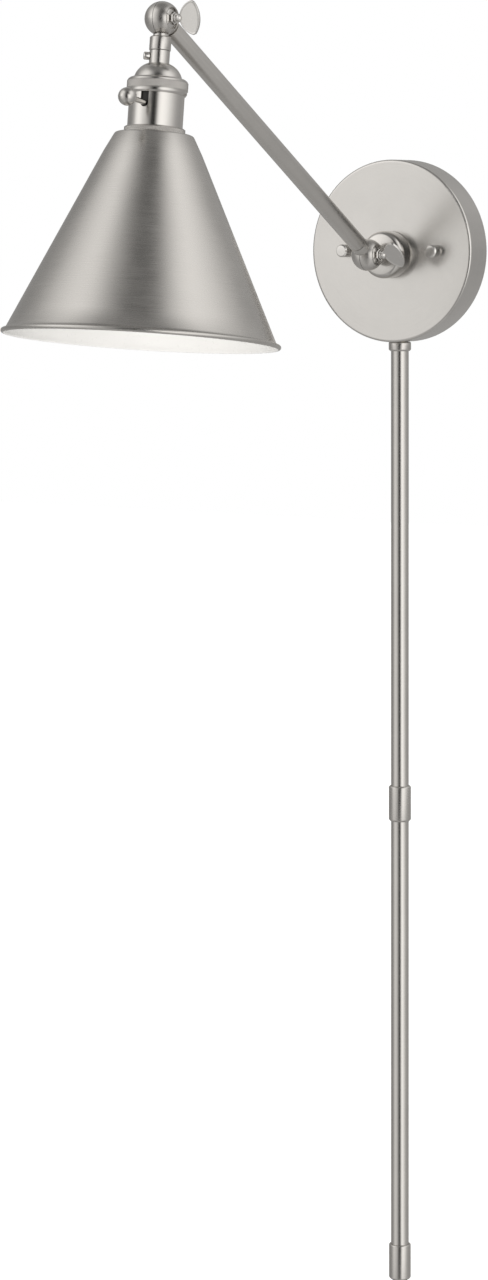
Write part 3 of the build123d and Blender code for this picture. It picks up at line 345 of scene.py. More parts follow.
def make_floor():
    """A pale floor under the lamp, open to a camera that looks up from below it."""
    height = cad_box[0].z - FLOOR_DROP
    mesh = bpy.data.meshes.new("floor")
    corners = [(x * FLOOR_REACH, y * FLOOR_REACH, height) for x, y in ((-1, -1), (1, -1), (1, 1), (-1, 1))]
    mesh.from_pydata(corners, [], [(0, 1, 2, 3)])
    plane = bpy.data.objects.new("floor", mesh)
    bpy.context.scene.collection.objects.link(plane)
    material = bpy.data.materials.new("pale_floor")
    material.use_nodes = True
    material.node_tree.nodes.clear()
    graph = Graph(material.node_tree)
    matte = graph.add("ShaderNodeBsdfDiffuse", FLOOR_WHITE)
    glow = graph.add("ShaderNodeEmission", (1, 1, 1, 1), FLOOR_GLOW)
    pale = graph.add("ShaderNodeAddShader", matte.outputs[0], glow.outputs[0])
    clear = graph.add("ShaderNodeBsdfTransparent")
    under = graph.add("ShaderNodeNewGeometry").outputs["Backfacing"]
    shown = graph.add("ShaderNodeMixShader", under, pale.outputs[0], clear.outputs[0])
    graph.add("ShaderNodeOutputMaterial", shown.outputs[0])
    mesh.materials.append(material)
    plane.visible_glossy = False
    plane.visible_diffuse = False
    plane.visible_shadow = False


# ==================== Materials ====================


def new_material(name):
    material = bpy.data.materials.new(name)
    material.use_nodes = True
    material.node_tree.nodes.clear()
    return material, Graph(material.node_tree)


def surface(graph, **sockets):
    """The material's Principled shader and output. Sockets have the shader's names, with _ for a space."""
    shader = graph.add("ShaderNodeBsdfPrincipled")
    for name, value in sockets.items():
        graph.put(shader.inputs[name.replace("_", " ")], value)
    graph.add("ShaderNodeOutputMaterial", shader.outputs[0])
    return shader


def turned_vector(graph, place, axis, around, lines):
    """Coordinates in which noise becomes fine lines round an axis."""
    offset = graph.vector("SUBTRACT", place, tuple(axis.origin))
    along = graph.vector("DOT_PRODUCT", offset, tuple(axis.along))
    on_axis = graph.vector("SCALE", tuple(axis.along), scale=along)
    radial = graph.vector("SUBTRACT", offset, on_axis)
    radius = graph.vector("LENGTH", radial)
    bearing = graph.vector("SCALE", graph.vector("NORMALIZE", radial), scale=around)
    travel = graph.math("MULTIPLY", graph.math("ADD", along, radius), lines)
    return graph.vector("ADD", bearing, graph.vector("SCALE", tuple(axis.along), scale=travel))


def noise(graph, vector, scale, detail=3.0, roughness=0.6):
    node = graph.add("ShaderNodeTexNoise")
    graph.put(node.inputs["Vector"], vector)
    graph.put(node.inputs["Scale"], scale)
    graph.put(node.inputs["Detail"], detail)
    graph.put(node.inputs["Roughness"], roughness)
    return node.outputs["Fac"]


def bump(graph, height, distance):
    node = graph.add("ShaderNodeBump")
    graph.put(node.inputs["Strength"], 1.0)
    graph.put(node.inputs["Distance"], distance)
    graph.put(node.inputs["Height"], height)
    return node.outputs["Normal"]


NOISE_LOW = 0.3
NOISE_HIGH = 0.7


def spread(graph, value, low=0.0, high=1.0):
    """Noise stretched so that its usual values run from low to high."""
    return graph.remap(value, NOISE_LOW, NOISE_HIGH, low, high)


def shaded(colour, factor):
    return tuple(channel * factor for channel in colour) + (1,)


METAL_CLOUDS = 38.0
GRAIN_SHARE = 0.55
METAL_TONES = (0.94, 1.05)
WORN_POINTINESS = (0.53, 0.62)
WEAR = 0.25
WORN_TONE = 1.18
WORN_POLISH = 0.3


def metal(name, colour, roughness, axis=None, lines=3200.0, around=2.0, brushing=0.06, depth=0.000004):
    """Metal with fine brushing round an axis, or an even grain without one, cloudy tone and worn edges."""
    material, graph = new_material(name)
    place = graph.add("ShaderNodeTexCoord").outputs["Object"]
    if axis is None:
        grain = noise(graph, place, lines, detail=2.0)
    else:
        turned = turned_vector(graph, place, axis, around, lines)
        grain = noise(graph, turned, 1.0, detail=4.0, roughness=0.7)
    clouds = graph.math("MULTIPLY", noise(graph, place, METAL_CLOUDS), 1 - GRAIN_SHARE)
    tone = graph.math("ADD", graph.math("MULTIPLY", grain, GRAIN_SHARE), clouds)
    plain = graph.mix(spread(graph, tone), *[shaded(colour, factor) for factor in METAL_TONES])
    edge = graph.add("ShaderNodeNewGeometry").outputs["Pointiness"]
    worn = graph.math("MULTIPLY", graph.remap(edge, *WORN_POINTINESS, smooth=True), WEAR)
    base = graph.mix(worn, plain, shaded(colour, WORN_TONE))
    dull = spread(graph, tone, roughness - brushing / 2, roughness + brushing / 2)
    smooth = graph.math("SUBTRACT", dull, graph.math("MULTIPLY", worn, roughness * WORN_POLISH))
    surface(graph, Base_Color=base, Metallic=1.0, Roughness=smooth, Normal=bump(graph, grain, depth))
    return material


ENAMEL_RIPPLE = 420.0
ENAMEL_CLOUDS = 24.0
ENAMEL_TONES = (0.97, 1.0)
ENAMEL_GLOSS_SPREAD = (-0.04, 0.05)
RIPPLE_DEPTH = 0.00001


def enamel(name, colour, roughness):
    """Smooth stoved paint with a faint ripple and a little unevenness in gloss."""
    material, graph = new_material(name)
    place = graph.add("ShaderNodeTexCoord").outputs["Object"]
    ripple = noise(graph, place, ENAMEL_RIPPLE, detail=2.0)
    clouds = noise(graph, place, ENAMEL_CLOUDS)
    base = graph.mix(spread(graph, clouds), *[shaded(colour, factor) for factor in ENAMEL_TONES])
    gloss = spread(graph, ripple, *[roughness + extra for extra in ENAMEL_GLOSS_SPREAD])
    surface(graph, Base_Color=base, Roughness=gloss, Normal=bump(graph, ripple, RIPPLE_DEPTH))
    return material


MOULDING_CLOUDS = 60.0
MOULDING_TONES = (0.8, 1.15)
MOULDING_GLOSS_SPREAD = 0.08
MOULDING_DEPTH = 0.00002


def moulding(name, colour, roughness, grain_scale=1500.0):
    """Moulded plastic, fibre or rubber with a fine matt grain."""
    material, graph = new_material(name)
    place = graph.add("ShaderNodeTexCoord").outputs["Object"]
    grain = noise(graph, place, grain_scale, detail=4.0)
    clouds = noise(graph, place, MOULDING_CLOUDS)
    base = graph.mix(spread(graph, clouds), *[shaded(colour, factor) for factor in MOULDING_TONES])
    dull = spread(graph, grain, roughness - MOULDING_GLOSS_SPREAD, roughness + MOULDING_GLOSS_SPREAD)
    surface(graph, Base_Color=base, Roughness=dull, Normal=bump(graph, grain, MOULDING_DEPTH))
    return material


GLASS_CLOUDS = 45.0
GLASS_TONES = ((0.86, 0.85, 0.82, 1), (0.92, 0.91, 0.89, 1))
GLASS_GRAIN = 300.0
GLASS_ROUGHNESS = (0.2, 0.28)


def milk_glass(name):
    """Bulb glass with a white coating inside it."""
    material, graph = new_material(name)
    place = graph.add("ShaderNodeTexCoord").outputs["Object"]
    clouds = noise(graph, place, GLASS_CLOUDS)
    base = graph.mix(spread(graph, clouds), *GLASS_TONES)
    gloss = spread(graph, noise(graph, place, GLASS_GRAIN), *GLASS_ROUGHNESS)
    surface(graph, Base_Color=base, Roughness=gloss, Coat_Weight=0.6, Coat_Roughness=0.05)
    return material


NICKEL = (0.625, 0.608, 0.585)
PALE_NICKEL = (0.67, 0.655, 0.633)
ARM_NICKEL = (0.66, 0.643, 0.618)
BRIGHT_NICKEL = (0.72, 0.706, 0.685)
ZINC = (0.58, 0.59, 0.60)
BRASS = (0.74, 0.55, 0.24)

SATIN_PLATE = metal(
    "satin_nickel_plate", PALE_NICKEL, 0.25, PLATE_AXIS, lines=3000.0, around=3.0, depth=0.000002
)
SATIN_HUB = metal("satin_nickel_hub", NICKEL, 0.18, HUB_AXIS)
SATIN_CORD = metal("satin_nickel_cord_cover", NICKEL, 0.26, CORD_AXIS)
SATIN_ARM = metal("satin_nickel_arm", ARM_NICKEL, 0.30, ARM_AXIS)
SATIN_HEAD = metal("satin_nickel_head", NICKEL, 0.22, HEAD_AXIS)
SATIN_SHADE = metal(
    "satin_nickel_shade", NICKEL, 0.27, HEAD_AXIS, lines=1500.0, around=2.2, brushing=0.16, depth=0.000007
)
SATIN_LOWER_BALL = metal("satin_nickel_lower_ball", NICKEL, 0.32, LOWER_PIVOT)
SATIN_UPPER_BALL = metal("satin_nickel_upper_ball", NICKEL, 0.27, UPPER_PIVOT)
SATIN_KNOB = metal("satin_nickel_knob", NICKEL, 0.22, KNOB_AXIS)
SATIN_KEY = metal("satin_nickel_key", BRIGHT_NICKEL, 0.26, lines=2500.0)
POLISHED_LOWER = metal("polished_nickel_lower_nut", BRIGHT_NICKEL, 0.14, LOWER_PIVOT, brushing=0.04)
POLISHED_UPPER = metal("polished_nickel_upper_nut", BRIGHT_NICKEL, 0.14, UPPER_PIVOT, brushing=0.04)
POLISHED_PLATE = metal("polished_nickel_cap_nuts", BRIGHT_NICKEL, 0.16, lines=2600.0, brushing=0.04)
ZINC_STEEL = metal("zinc_plated_steel", ZINC, 0.32, lines=900.0, depth=0.00001)
PLAIN_BRASS = metal("brass", BRASS, 0.26, lines=1500.0)
GREEN_STEEL = metal("green_earth_screw", (0.10, 0.36, 0.14), 0.35, lines=1500.0)
BULB_CAP_METAL = metal("bulb_cap_metal", (0.72, 0.72, 0.70), 0.25, HEAD_AXIS)
WHITE_ENAMEL = enamel("white_enamel", (0.93, 0.925, 0.91), 0.3)
BLACK_MOULDING = moulding("black_moulding", (0.018, 0.017, 0.016), 0.45)
BLACK_RUBBER = moulding("black_rubber", (0.025, 0.024, 0.023), 0.7)
RED_FIBRE = moulding("red_fibre", (0.34, 0.05, 0.03), 0.7, grain_scale=2500.0)
WIRE_JACKET = moulding("wire_insulation", (0.55, 0.54, 0.5), 0.45)
BULB_GLASS = milk_glass("bulb_glass")

FINISH = {
    SATIN_PLATE: ["backplate"],
    SATIN_HUB: ["hub_dome"],
    SATIN_CORD: ["cord_collar", "upper_cord_tube", "tube_coupling", "lower_cord_tube", "end_barrel"],
    SATIN_ARM: ["arm_tube"],
    SATIN_LOWER_BALL: ["hub_stem", "arm_lower_knuckle"],
    SATIN_UPPER_BALL: ["arm_upper_knuckle", "head_knuckle"],
    SATIN_HEAD: ["head_sleeve", "socket_cap", "knurled_collar", "socket_shell", "shade_ring"],
    SATIN_SHADE: ["shade", "shade_retaining_ring"],
    SATIN_KNOB: ["switch_knob"],
    SATIN_KEY: ["lower_thumb_key", "upper_thumb_key"],
    POLISHED_LOWER: ["lower_knuckle_washer", "lower_knuckle_nut"],
    POLISHED_UPPER: ["upper_knuckle_washer", "upper_knuckle_nut"],
    POLISHED_PLATE: ["cap_nuts", "neck_set_screw"],
    ZINC_STEEL: ["mounting_bracket", "plate_studs", "stud_lock_nuts", "hub_nut", "stem_washer", "stem_nut"],
    PLAIN_BRASS: [
        "cord_nipple",
        "cord_nipple_nut",
        "hub_bushing",
        "screw_shell",
        "centre_contact",
        "terminal_screws",
    ],
    GREEN_STEEL: ["ground_screw"],
    BULB_CAP_METAL: ["bulb_base"],
    BLACK_MOULDING: ["switch_block", "lampholder_sleeve"],
    BLACK_RUBBER: ["cord_outlet_grommet"],
    RED_FIBRE: ["lower_friction_washer", "upper_friction_washer"],
    WIRE_JACKET: ["arm_lead_wires"],
    BULB_GLASS: ["bulb_envelope"],
}


def finish_cad_nodes():
    """Gives every CAD node its own material in place of the one it came with."""
    for material, names in FINISH.items():
        for name in names:
            mesh = NODES[name].data
            mesh.materials.clear()
            mesh.materials.append(material)


# ==================== Turned pieces ====================


def span(name, axis):
    """A CAD node's radii about an axis and distances along it, in millimetres, each as (least, greatest)."""
    radii, distances = [], []
    for vertex in NODES[name].data.vertices:
        offset = vertex.co - axis.origin
        along = offset.dot(axis.along)
        distances.append(along / MM)
        radii.append((offset - axis.along * along).length / MM)
    return (min(radii), max(radii)), (min(distances), max(distances))


USUAL_ROUNDING = 0.25
NEARLY_STRAIGHT = radians(85)
LONGEST_CUT = 0.48


def rounded(outline, closed=True, steps=4):
    """The outline with its corners broken; a point is (radius, distance) and may add its corner's radius."""
    made = []
    count = len(outline)
    for index, (radius, distance, *corner) in enumerate(outline):
        point = Vector((radius, distance))
        size = corner[0] if corner else USUAL_ROUNDING
        ends = not closed and index in (0, count - 1)
        if ends or size == 0:
            made.append((radius, distance))
            continue
        before = Vector(outline[index - 1][:2]) - point
        after = Vector(outline[(index + 1) % count][:2]) - point
        half = before.angle(after) / 2
        if half > NEARLY_STRAIGHT:
            made.append((radius, distance))
            continue
        cut = min(size / sin(half) * cos(half), LONGEST_CUT * before.length, LONGEST_CUT * after.length)
        first = point + before.normalized() * cut
        last = point + after.normalized() * cut
        for step in range(steps + 1):
            share = step / steps
            bend = first * (1 - share) ** 2 + point * (2 * share * (1 - share)) + last * share**2
            made.append((bend.x, bend.y))
    return made


def arc(centre, radius, start, end, steps):
    """Points on an arc in an outline; angles in degrees, 0 away from the axis and 90 along it."""
    turns = [radians(start + (end - start) * step / steps) for step in range(steps + 1)]
    return [(centre[0] + radius * cos(turn), centre[1] + radius * sin(turn), 0) for turn in turns]


def make_object(name, mesh, body, stands_for):
    """A piece of the lamp that moves with a body and is shown in place of a CAD node."""
    piece = bpy.data.objects.new(name, mesh)
    bpy.context.scene.collection.objects.link(piece)
    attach(piece, body)
    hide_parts(stands_for)


MERGE_DISTANCE = 1e-7


def turned_mesh(name, axis, outline, materials, segments, closed=True, relief=None, paint=None):
    """A mesh turned from an outline about an axis. Relief adds to a radius; paint picks a face's material."""
    points = []
    for turn in range(segments):
        angle = tau * turn / segments
        for radius, distance in outline:
            extra = relief(angle, distance) if relief else 0.0
            points.append(axis.at(radius + extra, distance, angle))
    count = len(outline)
    edges = count if closed else count - 1
    faces, slots = [], []
    for turn in range(segments):
        here = turn * count
        there = (turn + 1) % segments * count
        for edge in range(edges):
            after = (edge + 1) % count
            faces.append((here + edge, here + after, there + after, there + edge))
            slots.append(paint(edge) if paint else 0)
    mesh = bpy.data.meshes.new(name)
    mesh.from_pydata(points, [], faces)
    mesh.polygons.foreach_set("material_index", slots)
    for material in materials:
        mesh.materials.append(material)
    built = bmesh.new()
    built.from_mesh(mesh)
    bmesh.ops.remove_doubles(built, verts=built.verts, dist=MERGE_DISTANCE)
    bmesh.ops.recalc_face_normals(built, faces=built.faces)
    built.to_mesh(mesh)
    built.free()
    mesh.shade_smooth()
    return mesh


def between(first, last, steps):
    """Evenly spaced points of an outline from first to last, with no corners to break."""
    return [
        (first[0] + (last[0] - first[0]) * step / steps, first[1] + (last[1] - first[1]) * step / steps, 0)
        for step in range(steps + 1)
    ]


def groove(place, width):
    """How deep a straight groove is at a place, from 0 to 1; grooves stand at whole numbers."""
    return max(0.0, 1.0 - abs(place - whole(place + 0.5)) / width)


# ==================== Shade ====================

SHADE_SEGMENTS = 256
SHADE_WALL = 0.9
HOLE_ROUNDING = 0.2
OUTER_CORNER = 24.6
OUTER_ROUNDING = 2.2
INNER_CORNER = 23.9
INNER_ROUNDING = 1.6
CONE_START = 26.2
CONE_START_DROP = 1.9
CONE_END_INSET = 3.3
CONE_END_RISE = 4.3
CONE_STEPS = 12
BEAD_RADIUS = 1.5
BEAD_NECK = Vector((0.9, 1.75))
NECK_ROUNDING = 0.8
BEAD_ARC = (-70, 180)
BEAD_STEPS = 18
EDGES_UNDER_BEAD = 7


def make_shade():
    """Spun cone: nickel outside and over the rolled bead, white enamel inside and under the bead."""
    (hole, rim_radius), (top, rim) = span("shade", HEAD_AXIS)
    cone_top = Vector((CONE_START, top + CONE_START_DROP))
    cone_end = Vector((rim_radius - CONE_END_INSET, rim - CONE_END_RISE))
    slope = (cone_end - cone_top).normalized()
    inward = Vector((-slope.y, slope.x)) * SHADE_WALL
    bead = Vector((rim_radius - BEAD_RADIUS, rim - BEAD_RADIUS))
    outside = [(hole, top, HOLE_ROUNDING), (OUTER_CORNER, top, OUTER_ROUNDING)]
    outside += between(cone_top, cone_end, CONE_STEPS)[1:]
    outside += [(*(bead - BEAD_NECK), NECK_ROUNDING)]
    outside += arc(bead, BEAD_RADIUS, *BEAD_ARC, BEAD_STEPS)
    inside = [(*(cone_end + inward), NECK_ROUNDING)]
    inside += between(cone_end + inward, cone_top + inward, CONE_STEPS)[1:-1]
    inside += [(INNER_CORNER, top + SHADE_WALL, INNER_ROUNDING), (hole, top + SHADE_WALL, HOLE_ROUNDING)]
    outer = rounded(outside, closed=False)
    inner = rounded(inside, closed=False)
    first_white = len(outer) - EDGES_UNDER_BEAD
    last_white = len(outer) + len(inner) - 2

    def paint(edge):
        return 1 if first_white <= edge <= last_white else 0

    finishes = [SATIN_SHADE, WHITE_ENAMEL]
    mesh = turned_mesh("spun_shade", HEAD_AXIS, outer + inner, finishes, SHADE_SEGMENTS, paint=paint)
    make_object("spun_shade", mesh, "head", "shade")


# ==================== Knurled rings ====================

KNURL_TEETH = 72
KNURL_PITCH = 1.66
KNURL_DEPTH = 0.45
KNURL_GROOVE = 0.42
KNURL_FADE = 0.25
STEPS_PER_TOOTH = 8


def diamond_knurl(top, bottom):
    """Relief of two crossing sets of slanting grooves, fading out at the band's edges."""

    def relief(angle, distance):
        if not top < distance < bottom:
            return 0.0
        fade = min(1.0, (distance - top) / KNURL_FADE, (bottom - distance) / KNURL_FADE)
        turn = angle * KNURL_TEETH / tau
        climb = (distance - top) / KNURL_PITCH
        deepest = max(groove(turn + climb, KNURL_GROOVE), groove(turn - climb, KNURL_GROOVE))
        return -KNURL_DEPTH * fade * deepest

    return relief


def make_knurled(name, stands_for, outline, band):
    """A ring of the head with a diamond-knurled band."""
    segments = KNURL_TEETH * STEPS_PER_TOOTH
    shape = rounded(outline, steps=3)
    mesh = turned_mesh(name, HEAD_AXIS, shape, [SATIN_HEAD], segments, relief=diamond_knurl(*band))
    make_object(name, mesh, "head", stands_for)


# Points of the collar's outer side: inset from the grip's radius, then how far below the collar's top
# or above its bottom, then the corner's radius.
COLLAR_BAND = (2.5, 7.5)
COLLAR_BAND_STEPS = 40
COLLAR_UPPER_LIP = [(1.9, 0.5, 0.5), (0.55, 1.5, 0.6), (0.6, 2.3, 0.1)]
COLLAR_UNDER_BAND = [(0.55, 7.8, 0.1)]
COLLAR_LOWER_LIP = [(0.5, 1.2, 0.5), (1.2, 0.0, 0.3)]
COLLAR_STEP = 1.25
COLLAR_EASE = 0.02
COLLAR_MOUTH_ROUNDING = 0.2
COLLAR_END_ROUNDING = 0.15


def make_collar():
    """Collar that holds the cap on the socket shell: a bright lip each side of a diamond-knurled grip."""
    (bore, grip), (top, bottom) = span("knurled_collar", HEAD_AXIS)
    band = [top + drop for drop in COLLAR_BAND]
    outline = [(bore, top + COLLAR_STEP), (bore, top, COLLAR_MOUTH_ROUNDING)]
    outline += [(grip - inset, top + drop, corner) for inset, drop, corner in COLLAR_UPPER_LIP]
    outline += between((grip, band[0]), (grip, band[1]), COLLAR_BAND_STEPS)
    outline += [(grip - inset, top + drop, corner) for inset, drop, corner in COLLAR_UNDER_BAND]
    outline += [(grip - inset, bottom - rise, corner) for inset, rise, corner in COLLAR_LOWER_LIP]
    outline += [(bore + COLLAR_EASE, bottom, COLLAR_END_ROUNDING), (bore + COLLAR_EASE, top + COLLAR_STEP, 0)]
    make_knurled("collar_grip", "knurled_collar", outline, band)


# Edges of the shade ring, in the same way.
RING_MARGIN = 0.55
RING_BAND_STEPS = 24
RING_UPPER_EDGE = [(0.7, 0.0, 0.3), (0.15, 0.45, 0.1)]
RING_LOWER_EDGE = [(0.15, 0.45, 0.1), (0.6, 0.0, 0.2)]
RING_BORE_ROUNDING = 0.1


def make_shade_ring():
    """Thin knurled ring that the shade hangs from."""
    (bore, grip), (top, bottom) = span("shade_ring", HEAD_AXIS)
    band = (top + RING_MARGIN, bottom - RING_MARGIN)
    outline = [(bore, top, RING_BORE_ROUNDING)]
    outline += [(grip - inset, top + drop, corner) for inset, drop, corner in RING_UPPER_EDGE]
    outline += between((grip, band[0]), (grip, band[1]), RING_BAND_STEPS)
    outline += [(grip - inset, bottom - rise, corner) for inset, rise, corner in RING_LOWER_EDGE]
    outline += [(bore, bottom, RING_BORE_ROUNDING)]
    make_knurled("shade_ring_grip", "shade_ring", outline, band)


# ==================== Clamping keys ====================

# Half of the leaf's outline, from its root out to its end: (distance from the ball's middle, half width).
KEY_LEAF = [(13.4, 1.4), (17.0, 7.7), (22.9, 10.9), (24.4, 10.4), (28.3, 0.0)]
LEAF_END_STEPS = 36
LEAF_FLANK_STEPS = 22
LEAF_MIDDLE = 22.35
# Section of the leaf's raised rim: (inset from the outline, half thickness).
KEY_RIM = [
    (0.0, 0.5),
    (0.1, 0.75),
    (0.3, 0.88),
    (0.55, 0.9),
    (0.85, 0.86),
    (1.1, 0.76),
    (1.4, 0.72),
    (1.6, 0.72),
]
# Section of the turned stem: radius, distance from the ball's middle, corner radius.
KEY_STEM_SEGMENTS = 48
KEY_STEM = [
    (0.0, 9.9, 0),
    (2.0, 9.9, 0),
    (2.0, 10.2, 0),
    (2.9, 10.2, 0.25),
    (2.9, 11.2, 0.3),
    (2.0, 11.5, 0.2),
    (2.0, 12.0, 0.2),
    (2.6, 12.6, 0.3),
    (2.6, 13.8, 0.4),
    (1.6, 14.8, 0.3),
    (0.0, 15.2, 0),
]


def curve_through(first, middle, last, steps):
    """Points on the circle through three points, from the first to just before the last."""
    (ax, ay), (bx, by), (cx, cy) = first, middle, last
    scale = 2 * (ax * (by - cy) + bx * (cy - ay) + cx * (ay - by))
    squares = (ax**2 + ay**2, bx**2 + by**2, cx**2 + cy**2)
    x = (squares[0] * (by - cy) + squares[1] * (cy - ay) + squares[2] * (ay - by)) / scale
    y = (squares[0] * (cx - bx) + squares[1] * (ax - cx) + squares[2] * (bx - ax)) / scale
    centre = Vector((x, y))
    arm = Vector(first) - centre
    turns = [arm.angle_signed(Vector(point) - centre) for point in (middle, last)]
    sweep = turns[1] if turns[0] * turns[1] > 0 else turns[1] - tau * (1 if turns[1] > 0 else -1)
    points = []
    for step in range(steps):
        turn = -sweep * step / steps
        points.append(
            Vector((arm.x * cos(turn) - arm.y * sin(turn), arm.x * sin(turn) + arm.y * cos(turn))) + centre
        )
    return points


def leaf_outline():
    """The leaf's outline, anticlockwise, with its two blunt corners."""
    root, flank, shoulder, corner, end = KEY_LEAF
    low_corner = (corner[0], -corner[1])
    lower = curve_through(low_corner, end, corner, LEAF_END_STEPS)
    upper = [Vector(corner), *curve_through(shoulder, flank, root, LEAF_FLANK_STEPS), Vector(root)]
    mirrored = [Vector((point.x, -point.y)) for point in reversed(upper)]
    return lower + upper + mirrored[:-1]


SAME_REACH = 0.995


def leaf_direction(node, pivot):
    """Which way a key's leaf stands: towards the points of its CAD node that are furthest from the pivot."""
    offsets = [vertex.co - pivot.origin for vertex in NODES[node].data.vertices]
    furthest = max(offsets, key=lambda offset: offset.yz.length).yz
    least = SAME_REACH * furthest.length
    tips = [offset for offset in offsets if offset.yz.length > least and offset.yz.dot(furthest) > 0]
    middle = sum(tips, Vector((0, 0, 0)))
    return Vector((0, middle.y, middle.z)).normalized()


def leaf_points(outline, pivot, up):
    """The leaf's rings of points, from the outline inwards, on its one side and then on its other."""
    normal = RIGHT.cross(up)
    middle = Vector((LEAF_MIDDLE, 0.0))
    points = []
    for side in (1, -1):
        for inset, half in KEY_RIM:
            for point in outline:
                inner = point + (middle - point).normalized() * inset
                points.append(pivot.origin + (RIGHT * inner.x + up * inner.y + normal * half * side) * MM)
    return points


def leaf_faces(count):
    """Faces over the leaf's points, for rings of count points each."""
    rings = len(KEY_RIM)
    faces = []
    for side in (0, 1):
        start = side * rings * count
        for ring in range(rings - 1):
            here = start + ring * count
            there = here + count
            for index in range(count):
                after = (index + 1) % count
                faces.append((here + index, here + after, there + after, there + index))
        inner_ring = start + (rings - 1) * count
        faces.append(tuple(range(inner_ring, inner_ring + count)))
    for index in range(count):
        after = (index + 1) % count
        faces.append((index, after, rings * count + after, rings * count + index))
    return faces


def make_key(name, body, pivot, stands_for):
    """Thumb key: a thin leaf with a raised rim, on a turned stem with a collar and a bead."""
    shape = rounded(KEY_STEM, closed=False)
    mesh = turned_mesh(name, pivot, shape, [SATIN_KEY], KEY_STEM_SEGMENTS, closed=False)
    built = bmesh.new()
    built.from_mesh(mesh)
    outline = leaf_outline()
    points = leaf_points(outline, pivot, leaf_direction(stands_for, pivot))
    made = [built.verts.new(point) for point in points]
    for face in leaf_faces(len(outline)):
        built.faces.new([made[index] for index in face])
    bmesh.ops.recalc_face_normals(built, faces=built.faces)
    built.to_mesh(mesh)
    built.free()
    mesh.shade_smooth()
    make_object(name, mesh, body, stands_for)


# ==================== Fluted nuts ====================

NUT_FLUTES = 22
STEPS_PER_FLUTE = 8
FLUTE_DEPTH = 0.26
FLUTE_WIDTH = 0.45
FLUTE_FADE = 0.2
# Points of a nut's side: inset from its radius, then how far from its foot or its front, then the
# corner's radius.
NUT_FOOT = [(0.6, 0.0, 0.1), (0.6, 0.8, 0.1), (0.1, 1.3, 0.15)]
NUT_FRONT = [(0.1, 0.95, 0.1), (0.9, 0.0, 0.25)]
NUT_GRIP_MARGINS = (1.6, 1.3)
NUT_GRIP_STEPS = 6
FLUTE_MARGINS = (1.45, 1.15)


def make_cap_nut(name, side):
    """Round nut with a bright bevel and a fluted grip."""
    low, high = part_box("cap_nuts")
    radius = (high.z - low.z) / 2 / MM
    foot, front = -high.y / MM, -low.y / MM
    axis = Axis((side * (high.x - radius * MM), 0, 0), OUT, RIGHT)
    outline = [(0.0, foot, 0)]
    outline += [(radius - inset, foot + rise, corner) for inset, rise, corner in NUT_FOOT]
    grip = (foot + NUT_GRIP_MARGINS[0], front - NUT_GRIP_MARGINS[1])
    outline += between((radius, grip[0]), (radius, grip[1]), NUT_GRIP_STEPS)
    outline += [(radius - inset, front - drop, corner) for inset, drop, corner in NUT_FRONT]
    outline += [(0.0, front, 0)]
    fluted = (foot + FLUTE_MARGINS[0], front - FLUTE_MARGINS[1])

    def relief(angle, distance):
        if not fluted[0] < distance < fluted[1]:
            return 0.0
        fade = min(1.0, (distance - fluted[0]) / FLUTE_FADE, (fluted[1] - distance) / FLUTE_FADE)
        return -FLUTE_DEPTH * fade * groove(angle * NUT_FLUTES / tau, FLUTE_WIDTH)

    shape = rounded(outline, closed=False)
    segments = NUT_FLUTES * STEPS_PER_FLUTE
    mesh = turned_mesh(name, axis, shape, [POLISHED_PLATE], segments, closed=False, relief=relief)
    make_object(name, mesh, "wall_plate", "cap_nuts")


# ==================== Bulb cap ====================

BULB_CAP_SEGMENTS = 120
THREAD_PITCH = 3.6
THREAD_DEPTH = 0.55
THREAD_STEPS = 90
THREAD_MARGINS = (5.0, 2.0)
THREAD_FADES = (2.0, 1.5)
# The cap's contact end: radius, distance below the top, corner radius.
CONTACT_END = [(0.0, 0.0, 0), (4.0, 0.0, 0.6), (5.0, 1.6, 0.3), (11.5, 3.6, 0.4)]
CAP_END_ROUNDING = 0.2
INSULATOR_RADII = (4.6, 11.6)
INSULATOR_DEPTH = 4.0


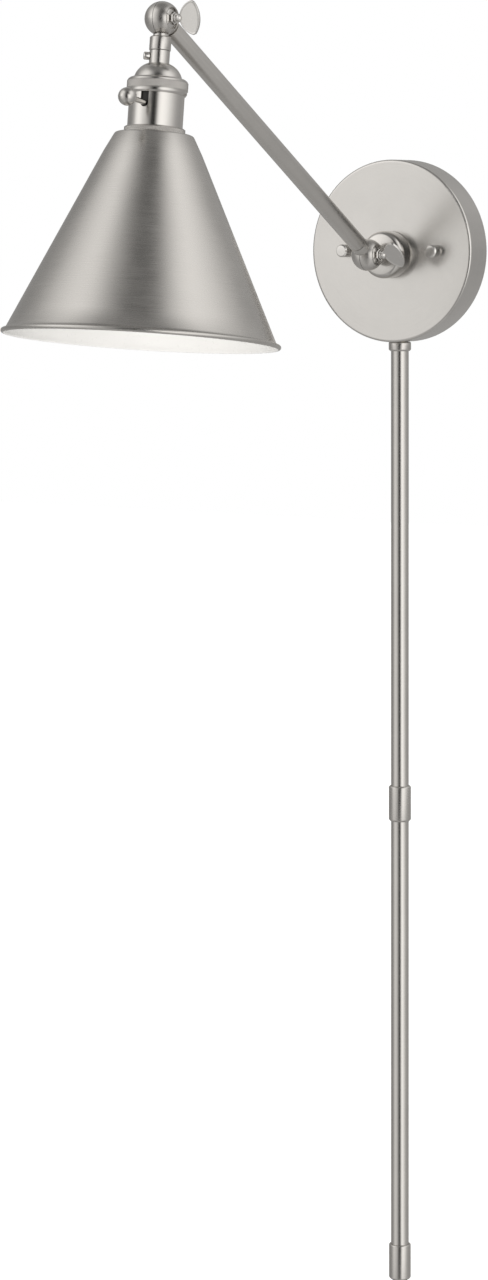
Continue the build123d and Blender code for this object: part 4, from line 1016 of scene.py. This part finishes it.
def make_bulb_cap():
    """Screw cap of the bulb with its rolled thread, black insulator and contact button."""
    (_, radius), (top, bottom) = span("bulb_base", HEAD_AXIS)
    thread_top, thread_bottom = top + THREAD_MARGINS[0], bottom - THREAD_MARGINS[1]
    outline = [(out, top + drop, corner) for out, drop, corner in CONTACT_END]
    outline += between((radius, thread_top), (radius, thread_bottom), THREAD_STEPS)
    outline += [(radius, bottom, CAP_END_ROUNDING), (0.0, bottom, 0)]
    shape = rounded(outline, closed=False)

    def relief(angle, distance):
        starts = (distance - thread_top) / THREAD_FADES[0]
        ends = (thread_bottom - distance) / THREAD_FADES[1]
        fade = max(0.0, min(1.0, starts, ends))
        return -THREAD_DEPTH * fade * (0.5 - 0.5 * cos(angle + tau * distance / THREAD_PITCH))

    def paint(edge):
        out, distance = shape[edge]
        insulator = INSULATOR_RADII[0] < out < INSULATOR_RADII[1] and distance < top + INSULATOR_DEPTH
        return 1 if insulator else 0

    finishes = [BULB_CAP_METAL, BLACK_MOULDING]
    mesh = turned_mesh(
        "bulb_cap", HEAD_AXIS, shape, finishes, BULB_CAP_SEGMENTS, closed=False, relief=relief, paint=paint
    )
    make_object("bulb_cap", mesh, "head", "bulb_base")


# ==================== Edges of the CAD pieces ====================

# Width of the broken edge in millimetres, and the nodes that have it.
EDGED = {
    0.3: ["arm_tube", "hub_dome", "cord_collar", "tube_coupling", "end_barrel", "head_sleeve"],
    0.15: [
        "lower_knuckle_nut",
        "upper_knuckle_nut",
        "lower_knuckle_washer",
        "upper_knuckle_washer",
        "neck_set_screw",
    ],
}
WELD_DISTANCE = 0.00001
EDGE_SEGMENTS = 3
LEAST_CORNER = radians(24)


def weld(piece):
    """Joins the CAD faces' shared borders, so that a modifier sees one surface."""
    piece.modifiers.new("weld", "WELD").merge_threshold = WELD_DISTANCE


def break_edges():
    """Rounds the sharp edges of plain CAD pieces so that they catch the light."""
    for width, names in EDGED.items():
        for name in names:
            piece = NODES[name]
            weld(piece)
            edge = piece.modifiers.new("broken_edges", "BEVEL")
            edge.width = width * MM
            edge.segments = EDGE_SEGMENTS
            edge.limit_method = "ANGLE"
            edge.angle_limit = LEAST_CORNER
            edge.harden_normals = True


def even_plate():
    """Shades the plate's rounded front edge evenly from the flat face round to the side."""
    piece = NODES["backplate"]
    weld(piece)
    piece.modifiers.new("even_edge", "WEIGHTED_NORMAL").keep_sharp = True


make_camera()
make_studio()
make_fill_light()
make_floor()
finish_cad_nodes()
make_shade()
make_collar()
make_shade_ring()
make_key("lower_key_leaf", "lower_key", LOWER_PIVOT, "lower_thumb_key")
make_key("upper_key_leaf", "upper_key", UPPER_PIVOT, "upper_thumb_key")
make_cap_nut("cap_nut_right", 1)
make_cap_nut("cap_nut_left", -1)
make_bulb_cap()
break_edges()
even_plate()
bpy.context.scene.view_settings.view_transform = "Standard"
